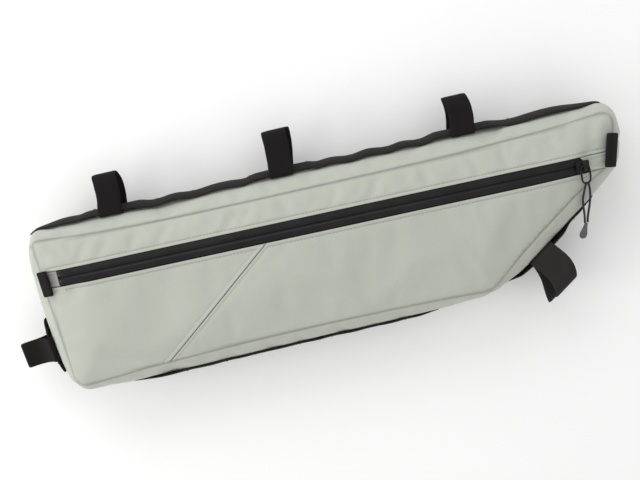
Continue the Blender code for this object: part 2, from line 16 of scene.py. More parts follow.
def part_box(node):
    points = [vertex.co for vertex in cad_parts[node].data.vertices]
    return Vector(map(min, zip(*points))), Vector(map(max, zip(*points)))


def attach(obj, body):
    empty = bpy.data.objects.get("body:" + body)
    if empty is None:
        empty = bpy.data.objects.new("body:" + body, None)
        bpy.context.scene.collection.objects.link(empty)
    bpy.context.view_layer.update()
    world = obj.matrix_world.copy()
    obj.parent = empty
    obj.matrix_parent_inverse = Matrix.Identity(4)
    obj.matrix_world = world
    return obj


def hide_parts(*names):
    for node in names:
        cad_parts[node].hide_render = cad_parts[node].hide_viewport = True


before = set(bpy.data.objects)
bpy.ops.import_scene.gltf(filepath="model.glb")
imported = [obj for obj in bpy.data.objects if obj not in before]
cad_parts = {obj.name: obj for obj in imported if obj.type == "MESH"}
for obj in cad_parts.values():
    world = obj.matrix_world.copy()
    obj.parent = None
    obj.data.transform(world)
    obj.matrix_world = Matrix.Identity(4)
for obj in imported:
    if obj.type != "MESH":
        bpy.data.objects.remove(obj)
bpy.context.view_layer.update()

# %% [markdown]
# The photograph looks down on the bag as it lies on its back. The camera stands 0.88 m away on a 60 mm lens,
# leans 10 degrees towards the top edge and rolls 12 degrees, so the bag climbs from left to right.

# %% Camera at the photograph's angle
OUTLINE_LOW = Vector((-0.22773, -0.07471))
back_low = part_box("back_panel")[0]
MOVE = Vector((back_low[0], back_low[1])) - OUTLINE_LOW
CAMERA_TARGET = Vector((*MOVE, 0.030))
CAMERA_DISTANCE = 0.880
CAMERA_ROLL = math.radians(12.35)
CAMERA_TILT = math.radians(10)
right = Vector((math.cos(CAMERA_ROLL), -math.sin(CAMERA_ROLL), 0))
level_up = Vector((math.sin(CAMERA_ROLL), math.cos(CAMERA_ROLL), 0))
back = Vector((0, 0, math.cos(CAMERA_TILT))) + level_up * math.sin(CAMERA_TILT)
up = back.cross(right)
lens = bpy.data.cameras.new("photo_camera")
lens.lens = 60
lens.clip_start = 0.01
camera = bpy.data.objects.new("photo_camera", lens)
bpy.context.scene.collection.objects.link(camera)
place = CAMERA_TARGET + back * CAMERA_DISTANCE
camera.matrix_world = Matrix.Translation(place) @ Matrix((right, up, back)).transposed().to_4x4()
bpy.context.scene.camera = camera
bpy.context.scene.view_settings.view_transform = "Standard"
print("camera at", tuple(round(v, 3) for v in place))

# %% [markdown]
# Shader maths reads best as plain expressions. A small class wraps a socket so that sums and products of it
# add Math nodes, and a second one holds the material and makes every other node from its type, its settings
# and its sockets.

# %% Write shader maths as expressions
class Signal:
    """Output socket whose sums and products add Math nodes."""

    def __init__(self, tree, socket):
        self.tree = tree
        self.socket = socket

    def maths(self, operation, *items):
        node = self.tree.nodes.new("ShaderNodeMath")
        node.operation = operation
        for socket, item in zip(node.inputs, items):
            plug(self.tree, socket, item)
        return Signal(self.tree, node.outputs[0])

    def __add__(self, other):
        return self.maths("ADD", self, other)

    def __sub__(self, other):
        return self.maths("SUBTRACT", self, other)

    def __rsub__(self, other):
        return self.maths("SUBTRACT", other, self)

    def __mul__(self, other):
        return self.maths("MULTIPLY", self, other)

    __radd__ = __add__
    __rmul__ = __mul__

    def sine(self):
        return self.maths("SINE", self)

    def size(self):
        return self.maths("ABSOLUTE", self)

    def held(self):
        """The value kept between 0 and 1."""
        return self.maths("MINIMUM", self.maths("MAXIMUM", self, 0.0), 1.0)


def plug(tree, socket, item):
    """Links a signal into a socket, or sets a plain value there."""
    if isinstance(item, Signal):
        tree.links.new(item.socket, socket)
    elif isinstance(item, tuple) and len(item) == 3 and socket.type == "RGBA":
        socket.default_value = (*item, 1.0)
    else:
        socket.default_value = item


class Finish:
    """A Principled material; constants go straight onto the shader's own sockets."""

    def __init__(self, name, **constants):
        self.material = bpy.data.materials.new(name)
        self.material.use_nodes = True
        self.tree = self.material.node_tree
        self.shader = self.tree.nodes["Principled BSDF"]
        for socket, value in constants.items():
            plug(self.tree, self.shader.inputs[socket.replace("_", " ")], value)

    def node(self, kind, settings, sockets, output=0):
        """Any node: its settings first, then its sockets; returns one output as a signal."""
        node = self.tree.nodes.new("ShaderNode" + kind)
        for setting, value in settings.items():
            setattr(node, setting, value)
        for socket, value in sockets.items():
            plug(self.tree, node.inputs[socket], value)
        return Signal(self.tree, node.outputs[output])

    def to_shader(self, **signals):
        for socket, value in signals.items():
            plug(self.tree, self.shader.inputs[socket.replace("_", " ")], value)

    def object_place(self):
        return self.node("TexCoord", {}, {}, "Object")

    def uv_axes(self):
        """The two distances of the piece's own UV map, in metres: along and across."""
        uv = self.node("UVMap", {"uv_map": "along"}, {})
        return self.axes(uv)

    def axes(self, vector):
        split = self.tree.nodes.new("ShaderNodeSeparateXYZ")
        plug(self.tree, split.inputs[0], vector)
        return [Signal(self.tree, output) for output in split.outputs]

    def cloud(self, place, scale, detail=2.0, roughness=0.5):
        """Soft noise between 0 and 1."""
        sockets = {"Vector": place, "Scale": scale, "Detail": detail, "Roughness": roughness}
        return self.node("TexNoise", {}, sockets)

    def blend(self, factor, first, second):
        """Mix of two colours."""
        node = self.tree.nodes.new("ShaderNodeMix")
        node.data_type = "RGBA"
        plug(self.tree, node.inputs[0], factor)
        plug(self.tree, node.inputs[6], first)
        plug(self.tree, node.inputs[7], second)
        return Signal(self.tree, node.outputs[2])

    def bump(self, height, distance, strength=1.0):
        sockets = {"Height": height, "Distance": distance, "Strength": strength}
        self.to_shader(Normal=self.node("Bump", {}, sockets))


print("shader helpers ready")

# %% [markdown]
# The wall is a plain-woven polyester, sage green with a faint grey melange. Threads are half a millimetre
# wide, so the weave is a product of two sine waves along the piece's own map, which follows each wall round
# its bends. Seams and folded edges get painted shade: each piece carries a shade value there, which darkens
# the colour.

# %% Woven cloth
THREAD = 0.00052
# painted shade at the seams: how strongly it shows, and how dark the sage becomes there
SEAM_SHADE = 0.8
SEAM_SHADE_TONE = 0.52


def woven(name, light, dark, depth=0.00007):
    finish = Finish(name, Sheen_Weight=0.18, Sheen_Roughness=0.5, Specular_IOR_Level=0.28)
    along, across, _ = finish.uv_axes()
    where = finish.object_place()
    warp = (along * (math.pi / THREAD)).sine()
    weft = (across * (math.pi / THREAD)).sine()
    weave = warp * weft
    slub = finish.cloud(where, 900, 2)
    patch = finish.cloud(where, 26, 3)
    painted_shade_and_mottle = finish.node("Attribute", {"attribute_name": "painted_shade_and_mottle"}, {}, "Fac")
    shade = (patch * 0.55 + slub * 0.65 - 0.18 + weave * 0.10).held()
    colour = finish.blend(shade, dark, light)
    # painted shade: beside seams and folded edges the colour is drawn towards a darker sage
    shaded = finish.blend((painted_shade_and_mottle * SEAM_SHADE).held(), colour, tuple(c * SEAM_SHADE_TONE for c in dark))
    finish.to_shader(Base_Color=shaded, Roughness=0.70 + patch * 0.12 + slub * 0.10)
    finish.bump(weave * 0.6 + slub * 0.7 + patch * 0.5, depth)
    return finish.material


SAGE = woven("sage_cloth", (0.462, 0.477, 0.426), (0.388, 0.406, 0.354))
print("cloth:", SAGE.name)

# %% [markdown]
# The zip is a reversed coil under a rubbery black film: smooth, glossy, with the coil just showing through
# as fine ribs across the tape.

# %% Coated zip tape
COIL_PITCH = 0.0013
COIL_HALF = 1 / 420


def coated_tape():
    finish = Finish("coated_zip_film", Specular_IOR_Level=0.16, Coat_Roughness=0.25, Coat_IOR=1.3)
    along, across, _ = finish.uv_axes()
    where = finish.object_place()
    ribs = (along * (2 * math.pi / COIL_PITCH)).sine()
    coil = (1 - (across * (1 / COIL_HALF)).size()).held()
    haze = finish.cloud(where, 45, 3)
    grain = finish.cloud(where, 700, 1)
    tone = (haze * 0.8 + grain * 0.2).held()
    finish.to_shader(
        Base_Color=finish.blend(tone, (0.0055, 0.0048, 0.0056), (0.0122, 0.0108, 0.0119)),
        Roughness=0.30 + haze * 0.14,
        Coat_Weight=haze * 0.35,
    )
    finish.bump(ribs * coil * 0.5 + grain * 0.25, 0.00007)
    return finish.material


ZIP_FILM = coated_tape()
print("zip:", ZIP_FILM.name)

# %% [markdown]
# Webbing has ribs across it and a firm edge. Hook-and-loop strap is a brushed pile: almost black, without
# shine, and rough at the scale of a fraction of a millimetre.

# %% Webbing, pile, thread
EDGE_THREAD = 0.0007


def ribbed(name, light, dark, pitch=0.0011, roughness=0.62):
    finish = Finish(name, Sheen_Weight=0.02, Specular_IOR_Level=0.14)
    along, across, _ = finish.uv_axes()
    where = finish.object_place()
    ribs = (along * (2 * math.pi / pitch)).sine()
    threads = (across * (2 * math.pi / EDGE_THREAD)).sine()
    fuzz = finish.cloud(where, 1300, 2)
    haze = finish.cloud(where, 60, 3)
    tone = (haze * 0.7 + fuzz * 0.3 + ribs * 0.14).held()
    finish.to_shader(Base_Color=finish.blend(tone, dark, light), Roughness=roughness + fuzz * 0.2)
    finish.bump(ribs * 0.6 + threads * 0.3 + fuzz * 0.5, 0.00012)
    return finish.material


def piled(name, light, dark):
    finish = Finish(name, Sheen_Weight=0.02, Sheen_Roughness=0.6, Specular_IOR_Level=0.08)
    where = finish.object_place()
    pile = finish.cloud(where, 1500, 4, 0.7)
    haze = finish.cloud(where, 70, 3)
    tone = (pile * 0.6 + haze * 0.5 - 0.1).held()
    finish.to_shader(Base_Color=finish.blend(tone, dark, light), Roughness=0.80 + pile * 0.15)
    finish.bump(pile + haze * 0.4, 0.00030)
    return finish.material


BAND_WEBBING = ribbed("charcoal_webbing", (0.0158, 0.0142, 0.0137), (0.0088, 0.0079, 0.0076))
TAB_WEBBING = ribbed("black_webbing", (0.0112, 0.0094, 0.0094), (0.0050, 0.0042, 0.0042))
# painted shade: the left stopper is sage cloth in shade, given a darker grey ribbed finish here
SHADED_STOPPER_CLOTH = ribbed("stopper_cloth_painted_shade", (0.36, 0.355, 0.325), (0.23, 0.225, 0.205), 0.0009, 0.7)
PILE = piled("black_pile", (0.0145, 0.0120, 0.0122), (0.0060, 0.0048, 0.0050))
HOOKS = piled("charcoal_pile", (0.035, 0.031, 0.0306), (0.016, 0.014, 0.014))
THREAD_FINISH = ribbed("sage_thread", (0.40, 0.44, 0.37), (0.27, 0.30, 0.25), 0.0006, 0.55)
DARK_THREAD = ribbed("charcoal_thread", (0.050, 0.047, 0.045), (0.020, 0.019, 0.018), 0.0006, 0.55)
print("webbing, pile and thread ready")

# %% [markdown]
# Hardware is small: a slider painted black, a wire ring, a braided cord and a grey moulded end.

# %% Paint, cord and rubber
BRAID_PITCH = 0.0011


def painted():
    finish = Finish("black_paint", Metallic=0.1, Specular_IOR_Level=0.18)
    where = finish.object_place()
    speck = finish.cloud(where, 500, 3)
    rub = finish.cloud(where, 160, 3)
    scuffed = ((rub - 0.58) * 6).held()
    finish.to_shader(
        Base_Color=finish.blend(scuffed, (0.010, 0.010, 0.011), (0.045, 0.045, 0.047)),
        Roughness=0.26 + speck * 0.22,
    )
    finish.bump(speck, 0.00003)
    return finish.material


def braided():
    finish = Finish("black_braid", Specular_IOR_Level=0.3)
    where = finish.object_place()
    x, y, _ = finish.axes(where)
    left_hand = ((y + x) * (2 * math.pi / BRAID_PITCH)).sine()
    right_hand = ((y - x) * (2 * math.pi / BRAID_PITCH)).sine()
    braid = left_hand * right_hand
    fuzz = finish.cloud(where, 1800, 2)
    tone = (fuzz * 0.8 + braid * 0.25).held()
    finish.to_shader(
        Base_Color=finish.blend(tone, (0.010, 0.009, 0.010), (0.036, 0.033, 0.035)),
        Roughness=0.55 + fuzz * 0.25,
    )
    finish.bump(braid * 0.6 + fuzz * 0.4, 0.00010)
    return finish.material


def moulded():
    finish = Finish("grey_rubber", Specular_IOR_Level=0.35)
    where = finish.object_place()
    grain = finish.cloud(where, 1400, 2)
    haze = finish.cloud(where, 180, 2)
    tone = (haze * 0.7 + grain * 0.3).held()
    finish.to_shader(
        Base_Color=finish.blend(tone, (0.070, 0.070, 0.070), (0.115, 0.115, 0.115)),
        Roughness=0.50 + grain * 0.2,
    )
    finish.bump(grain, 0.00006)
    return finish.material


PAINT = painted()
BRAID = braided()
RUBBER = moulded()
print("hardware finishes ready")

# %% [markdown]
# Everything hangs on one line: the seam that runs round the bag. It is five rounded corners joined by sides
# whose middles are drawn in a little by the filling. It is traced once, finely, and moved so that it fits
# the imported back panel.

# %% Trace the seam
LEFT_HEIGHT = 0.127
TOP_LENGTH = 0.478
START = Vector((-0.228, 0.0521))
CORNERS = [
    {"name": "top_left", "off": (0.0, 0.0), "radius": 0.005, "bulge": 0.0075},
    {"name": "bottom_left", "off": (0.007, -0.127), "radius": 0.010, "bulge": 0.0085},
    {"name": "bottom_right", "off": (0.357, -0.1195), "radius": 0.022, "bulge": 0.0070},
    {"name": "nose_low", "off": (0.4684, -0.0365), "radius": 0.014, "bulge": 0.0105},
    {"name": "nose_top", "off": (0.478, 0.0045), "radius": 0.0095, "bulge": 0.0070},
]
SIDES = [
    {"name": "left", "pull": 0.0, "square": 2.0, "bulge": 0.0120},
    {"name": "bottom", "pull": 0.0048, "square": 2.5, "bulge": 0.0140},
    {"name": "slant", "pull": 0.0030, "square": 2.5, "bulge": 0.0150},
    {"name": "nose", "pull": 0.0, "square": 2.0, "bulge": 0.0105},
    {"name": "top", "pull": 0.0072, "square": 3.5, "bulge": 0.0145},
]
BULGE_SQUARE = 3.5
FINE_STEP = 0.003
ARC_STEPS = 10


def left_of(direction):
    return Vector((-direction.y, direction.x))


def corner_arc(index):
    here = START + Vector(CORNERS[index]["off"])
    before = START + Vector(CORNERS[index - 1]["off"])
    after = START + Vector(CORNERS[(index + 1) % 5]["off"])
    into = (here - before).normalized()
    away = (after - here).normalized()
    turn = into.angle(away)
    radius = CORNERS[index]["radius"]
    first = here - into * radius * math.tan(turn / 2)
    centre = first + left_of(into) * radius
    turns = [Matrix.Rotation(turn * k / ARC_STEPS, 2) for k in range(ARC_STEPS + 1)]
    return [centre + part @ (first - centre) for part in turns]


def trace_seam():
    """Points of the seam and the gusset's bulge at each, counterclockwise from the top left corner."""
    arcs = [corner_arc(i) for i in range(5)]
    points = []
    bulges = []
    for i, side in enumerate(SIDES):
        here = CORNERS[i]["bulge"]
        there = CORNERS[(i + 1) % 5]["bulge"]
        points += arcs[i]
        bulges += [here] * len(arcs[i])
        start = arcs[i][-1]
        run = arcs[(i + 1) % 5][0] - start
        count = max(4, round(run.length / FINE_STEP))
        for k in range(1, count):
            share = k / count
            middle = 1 - abs(2 * share - 1) ** side["square"]
            points.append(start + run * share + left_of(run.normalized()) * side["pull"] * middle)
            ends = here + (there - here) * share
            bulges.append(ends + (side["bulge"] - ends) * (1 - abs(2 * share - 1) ** BULGE_SQUARE))
    return points, bulges


SEAM, BULGES = trace_seam()
print("outline's lowest corner", round(min(p.x for p in SEAM), 5), round(min(p.y for p in SEAM), 5))
SEAM = [p + MOVE for p in SEAM]
TOP_LEFT = START + MOVE
COUNT = len(SEAM)
MILES = [0.0]
for a, b in zip(SEAM, SEAM[1:] + SEAM[:1]):
    MILES.append(MILES[-1] + (b - a).length)
AROUND = MILES[-1]
print("seam:", COUNT, "points,", round(AROUND, 4), "m round, moved by", tuple(round(v, 5) for v in MOVE))

# %% [markdown]
# Bands, straps and tabs are placed as a maker would place them, by their distance along the seam. The other
# way round, every point of the cloth asks how far inside the seam it lies, since that sets its height.

# %% Read the seam at any distance round it
def mile_index(distance):
    """Point index, with its fraction, at a distance round the seam."""
    turns = math.floor(distance / AROUND)
    rest = distance - turns * AROUND
    low = 0
    high = COUNT
    while high - low > 1:
        middle = (low + high) // 2
        if MILES[middle] <= rest:
            low = middle
        else:
            high = middle
    return low + (rest - MILES[low]) / (MILES[low + 1] - MILES[low])


def seam_at(distance):
    """Place, outward normal, forward direction and gusset bulge there."""
    index = mile_index(distance)
    low = math.floor(index)
    share = index - low
    a = SEAM[low % COUNT]
    b = SEAM[(low + 1) % COUNT]
    before = SEAM[(low - 1) % COUNT]
    after = SEAM[(low + 2) % COUNT]
    forward = (b - before).normalized().lerp((after - a).normalized(), share).normalized()
    bulge = BULGES[low % COUNT] * (1 - share) + BULGES[(low + 1) % COUNT] * share
    return a.lerp(b, share), -left_of(forward), forward, bulge


SEAM_TREE = KDTree(COUNT)
for k, p in enumerate(SEAM):
    SEAM_TREE.insert((*p, 0), k)
SEAM_TREE.balance()


def seam_distance(x, y):
    """How far a place on the front or back lies inside the seam, and how far round its nearest point is."""
    _, near, _ = SEAM_TREE.find((x, y, 0))
    p = Vector((x, y))
    best = (1.0, 0.0)
    for k in (near - 1, near):
        a = SEAM[k % COUNT]
        edge = SEAM[(k + 1) % COUNT] - a
        share = min(1.0, max(0.0, (p - a).dot(edge) / edge.length_squared))
        best = min(best, ((p - a - edge * share).length, MILES[k % COUNT] + edge.length * share))
    return best


print("seam at 0.9 m:", [round(v, 4) for v in seam_at(0.9)[0]])

# %% [markdown]
# The front swells from its seam to a crown 8 mm higher. Soft dents and slanted folds cross it where the
# cloth is a little slack between the zip and the top edge. Each is a row of a table: place as shares of the
# bag, half length and half width as shares of its height, its turn in degrees and its depth in millimetres.
# Beside the seam the cloth dives into a narrow groove, which draws the dark line round the front together
# with painted shade in the colour there.

# %% Height of the front
FRONT_SEAM = 0.052
BACK_SEAM = 0.008
FRONT_CROWN = 0.008
CROWN_REACH = 0.040
BACK_REACH = 0.024
SEAM_GROOVE = 0.0010
SEAM_GROOVE_WIDE = 0.0018
WALL = 0.0012
FOLDS = [
    {"along": 0.088, "down": 0.103, "long": 0.105, "wide": 0.026, "turn": 54, "deep": 1.7},
    {"along": 0.122, "down": 0.105, "long": 0.085, "wide": 0.024, "turn": 62, "deep": 1.19},
    {"along": 0.050, "down": 0.150, "long": 0.090, "wide": 0.030, "turn": 128, "deep": 1.02},
    {"along": 0.175, "down": 0.100, "long": 0.080, "wide": 0.028, "turn": 70, "deep": 0.85},
    {"along": 0.230, "down": 0.090, "long": 0.085, "wide": 0.030, "turn": 58, "deep": 1.02},
    {"along": 0.340, "down": 0.130, "long": 0.090, "wide": 0.026, "turn": 47, "deep": 1.7},
    {"along": 0.372, "down": 0.095, "long": 0.075, "wide": 0.024, "turn": 52, "deep": 1.02},
    {"along": 0.430, "down": 0.110, "long": 0.085, "wide": 0.030, "turn": 120, "deep": 1.02},
    {"along": 0.520, "down": 0.095, "long": 0.080, "wide": 0.028, "turn": 66, "deep": 1.02},
    {"along": 0.585, "down": 0.120, "long": 0.090, "wide": 0.030, "turn": 58, "deep": 1.19},
    {"along": 0.670, "down": 0.095, "long": 0.085, "wide": 0.028, "turn": 112, "deep": 1.02},
    {"along": 0.755, "down": 0.110, "long": 0.100, "wide": 0.028, "turn": 108, "deep": 1.36},
    {"along": 0.805, "down": 0.105, "long": 0.090, "wide": 0.026, "turn": 104, "deep": 1.19},
    {"along": 0.885, "down": 0.110, "long": 0.110, "wide": 0.030, "turn": 150, "deep": 1.19},
    {"along": 0.945, "down": 0.210, "long": 0.110, "wide": 0.040, "turn": 82, "deep": 2.21},
    {"along": 0.056, "down": 0.365, "long": 0.075, "wide": 0.045, "turn": 40, "deep": 2.72},
    {"along": 0.180, "down": 0.620, "long": 0.340, "wide": 0.150, "turn": 40, "deep": 1.36},
    {"along": 0.560, "down": 0.640, "long": 0.600, "wide": 0.160, "turn": 8, "deep": 1.19},
    {"along": 0.120, "down": 0.880, "long": 0.200, "wide": 0.045, "turn": 160, "deep": 1.19},
    {"along": 0.700, "down": 0.480, "long": 0.300, "wide": 0.070, "turn": 150, "deep": 0.85},
]


def fold_depth(x, y):
    """Depth of all the folds together; each fades out as a bell curve."""
    depth = 0.0
    for fold in FOLDS:
        centre = TOP_LEFT + Vector((TOP_LENGTH * fold["along"], -LEFT_HEIGHT * fold["down"]))
        local = Matrix.Rotation(-math.radians(fold["turn"]), 2) @ (Vector((x, y)) - centre)
        spread = (local.x / (LEFT_HEIGHT * fold["long"])) ** 2 + (local.y / (LEFT_HEIGHT * fold["wide"])) ** 2
        if spread < 12:
            depth += 0.001 * fold["deep"] * math.exp(-spread)
    return depth


def front_height(x, y):
    """Outer face of the front, with its dents, and a groove where it dives into the seam."""
    inside, _ = seam_distance(x, y)
    inward = min(1.0, inside / CROWN_REACH)
    rise = 1 - (1 - inward) ** 2
    groove = SEAM_GROOVE * max(0.0, 1 - inside / SEAM_GROOVE_WIDE) ** 2
    return FRONT_SEAM + FRONT_CROWN * rise - fold_depth(x, y) * min(1.0, 4 * inward) - groove


ZIP_TOP = TOP_LEFT.y - 0.0268
ZIP_LOW = ZIP_TOP - 0.0133
ZIP_LEFT = TOP_LEFT.x + 0.0165
ZIP_RIGHT = TOP_LEFT.x + TOP_LENGTH - 0.0275
ZIP_SLANT = 0.55
ZIP_CUT = Vector((1.0, ZIP_SLANT)).normalized()
DIAGONAL = Vector((TOP_LEFT.x + 0.187, ZIP_LOW))
DIAGONAL_OUT = Vector((1.0, -1.235)).normalized()
STITCH_ROW = 0.0031
print("front crown", round(front_height(0, -0.03), 4))
print("zip from", round(ZIP_LEFT, 4), "to", round(ZIP_RIGHT, 4))

# %% [markdown]
# Pieces of the front are cut from one flat outline, as a sewer would cut them: rows are inset along the seam,
# and a grid of cuts gives the cloth enough points to fold. The size of each sheet is noted while it is flat.

# %% Cut cloth from the outline
GAP = 0.0003


def show(name, data, material, slot, *nodes):
    """Puts a piece in the scene: it rides on the bag, and stands for its CAD nodes."""
    piece = bpy.data.objects.new(name, data)
    bpy.context.scene.collection.objects.link(piece)
    data.materials.append(material)
    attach(piece, "root")
    if nodes:
        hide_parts(*nodes)
    return piece


def to_mesh(name, bm):
    mesh = bpy.data.meshes.new(name)
    bm.to_mesh(mesh)
    bm.free()
    mesh.shade_smooth()
    return mesh


def cut(bm, point, normal, clear=False):
    """Cuts the sheet along a line; with clear, what lies on the normal's side goes."""
    geometry = bm.verts[:] + bm.edges[:] + bm.faces[:]
    bmesh.ops.bisect_plane(bm, geom=geometry, dist=1e-7, plane_co=(*point, 0), plane_no=(*normal, 0),
                           clear_outer=clear)


def outline_sheet(step, rows):
    """Flat cloth inside the seam, with rows along its edge and a grid of cuts."""
    bm = bmesh.new()
    face = bm.faces.new([bm.verts.new((*p, 0)) for p in SEAM])
    for row in rows:
        bmesh.ops.inset_region(bm, faces=[face], thickness=row, use_even_offset=True)
    xs = [p.x for p in SEAM]
    ys = [p.y for p in SEAM]
    across = round((max(xs) - min(xs)) / step)
    along = round((max(ys) - min(ys)) / step)
    for k in range(1, across):
        cut(bm, (min(xs) + (max(xs) - min(xs)) * k / across, 0), (1, 0))
    for k in range(1, along):
        cut(bm, (0, min(ys) + (max(ys) - min(ys)) * k / along), (0, 1))
    return bm


def map_flat(bm):
    """The weave's map: plain distances across the flat sheet."""
    layer = bm.loops.layers.uv.new("along")
    for face in bm.faces:
        for loop in face.loops:
            loop[layer].uv = loop.vert.co.xy


FLATS = {}


def flat_size(bm):
    """Width, length and area of a sheet while it still lies flat."""
    xs = [vert.co.x for vert in bm.verts]
    ys = [vert.co.y for vert in bm.verts]
    return max(ys) - min(ys), max(xs) - min(xs), sum(face.calc_area() for face in bm.faces)


SHEET_STEP = 0.0038
SEAM_ROWS = (0.0011, 0.0014)
whole = outline_sheet(SHEET_STEP, SEAM_ROWS)
print("front outline cut into", len(whole.faces), "faces")

# %% [markdown]
# Each panel is that outline with everything past its borders cleared. Extra cuts run beside the zip and the
# slanted seam, where the edge is rolled under and a row of stitches presses it down. The right lower panel
# and the two pieces beside the zip's ends run on beneath their neighbours, so no gap shows at those seams.

# %% Front panels
UPPER = [((0, ZIP_TOP), (0, -1))]
BELOW = ((0, ZIP_LOW), (0, 1))
SLANT = (DIAGONAL, -DIAGONAL_OUT)
BETWEEN = [((0, ZIP_TOP), (0, 1)), ((0, ZIP_LOW), (0, -1))]
FRONT_CUTS = {
    "upper_panel": {"node": "panel_upper", "borders": UPPER, "under": [], "finish": SAGE},
    "lower_left_panel": {"node": "panel_lower_left", "borders": [BELOW, (DIAGONAL, DIAGONAL_OUT)],
                         "under": [], "finish": SAGE},
    "lower_right_panel": {"node": "panel_lower_right", "borders": [BELOW, SLANT],
                          "under": [SLANT], "finish": SAGE},
    # the left stopper's darker grey is painted shade on sage cloth
    "left_stopper": {"node": "zip_end_left", "borders": BETWEEN + [((ZIP_LEFT, 0), (1, 0))],
                     "under": BETWEEN, "finish": SHADED_STOPPER_CLOTH},
    "right_stopper": {"node": "zip_end_right", "borders": BETWEEN + [((ZIP_RIGHT, ZIP_LOW), -ZIP_CUT)],
                      "under": BETWEEN, "finish": SAGE},
}
EDGE_CUTS = (0.0006, 0.0016, STITCH_ROW - 0.0007, STITCH_ROW, STITCH_ROW + 0.0007)
TUCK = 0.0016
TUCK_DEPTH = 0.0015
TUCK_FROM = 0.0006
TUCK_RUN = 0.0008


def border_distance(x, y, borders):
    """How far inside its straight borders a place lies."""
    return min((Vector(point) - Vector((x, y))).dot(Vector(normal).normalized()) for point, normal in borders)


def front_piece(name, node, borders, under, finish):
    """One panel; at the borders named in under it dips and runs on beneath its neighbour."""
    bm = whole.copy()
    for border in borders:
        point, normal = border
        outward = Vector(normal).normalized()
        beyond = TUCK if border in under else -GAP / 2
        cut(bm, Vector(point) + outward * beyond, outward, clear=True)
        if border in under:
            cut(bm, Vector(point) + outward * (TUCK_RUN - TUCK_FROM), outward)
        for inside in EDGE_CUTS:
            cut(bm, Vector(point) - outward * (inside + GAP / 2), outward)
    bmesh.ops.remove_doubles(bm, verts=bm.verts, dist=2e-5)
    FLATS[name] = flat_size(bm)
    map_flat(bm)
    painted_shade_and_mottle = bm.verts.layers.float.new("painted_shade_and_mottle")
    for vert in bm.verts:
        x, y, _ = vert.co
        inside, _ = seam_distance(x, y)
        edge = max(0.0, border_distance(x, y, borders))
        dip = min(1.0, max(0.0, TUCK_FROM - border_distance(x, y, under)) / TUCK_RUN) if under else 0.0
        # painted shade: high beside the seam, along the straight borders and where the piece dips under its
        # neighbour
        vert[painted_shade_and_mottle] = max(0.0, 1 - inside / 0.0013, 0.45 - edge / 0.002, 0.8 * dip)
        roll = 0.0004 * max(0.0, 1 - (edge / 0.0032) ** 2) - 0.00035 * max(0.0, 1 - edge / 0.0009)
        pressed = 0.0003 * math.exp(-((edge - STITCH_ROW) / 0.0006) ** 2)
        vert.co.z = front_height(x, y) + roll - pressed - TUCK_DEPTH * dip
    return show(name, to_mesh(name, bm), finish, "cloth", node)


FRONT = {name: front_piece(name, **row) for name, row in FRONT_CUTS.items()}
whole.free()
print({name: len(piece.data.vertices) for name, piece in FRONT.items()})

# %% [markdown]
# The gusset is the wall between the front and back seams: four strips that bulge outwards as part of a
# circle. A grid is laid along the seam and bent round. Its first and last rows turn in under the panels, as
# a seam allowance does, so that no light gets through.

# %% Gusset strips
MIDDLE = (FRONT_SEAM + BACK_SEAM) / 2
HALF = (FRONT_SEAM - BACK_SEAM) / 2


def arc_of(bulge):
    """Radius, centre outwards from the seam and half angle of the gusset's round section."""
    radius = (HALF ** 2 + bulge ** 2) / (2 * bulge)
    return radius, bulge - radius, math.asin(HALF / radius)


def arc_point(distance, angle, clear):
    """Point at an angle up from the gusset's middle, clear of its outer face."""
    place, normal, _, bulge = seam_at(distance)
    radius, centre, _ = arc_of(bulge)
    flat = place + normal * (centre + (radius + clear) * math.cos(angle))
    return Vector((*flat, MIDDLE + (radius + clear) * math.sin(angle)))


GUSSETS = {
    "gusset_left_cloth": {"node": "gusset_left", "first": 0.0080, "last": 0.1265},
    "gusset_bottom_cloth": {"node": "gusset_bottom", "first": 0.1265, "last": 0.4747},
    "gusset_slant_cloth": {"node": "gusset_slant", "first": 0.4747, "last": 0.6321},
    "gusset_top_cloth": {"node": "gusset_top", "first": 0.6321, "last": AROUND + 0.0080},
}
GUSSET_ROWS = 20
GUSSET_STEP = 0.0036
ALLOWANCE = 0.004
ALLOWANCE_DROP = 0.0011
LAP = 0.0016
LAP_SINK = 0.0011
CROWN_STEPS = 80


def flat_strip(first, last, half, columns, rows):
    """Grid whose map is the distance along the strip and across it, both in metres."""
    bm = bmesh.new()
    bmesh.ops.create_grid(bm, x_segments=columns, y_segments=rows, size=1.0)
    layer = bm.loops.layers.uv.new("along")
    for face in bm.faces:
        for loop in face.loops:
            x, y, _ = loop.vert.co
            loop[layer].uv = (first + (last - first) * (x + 1) / 2, half * y)
    return bm


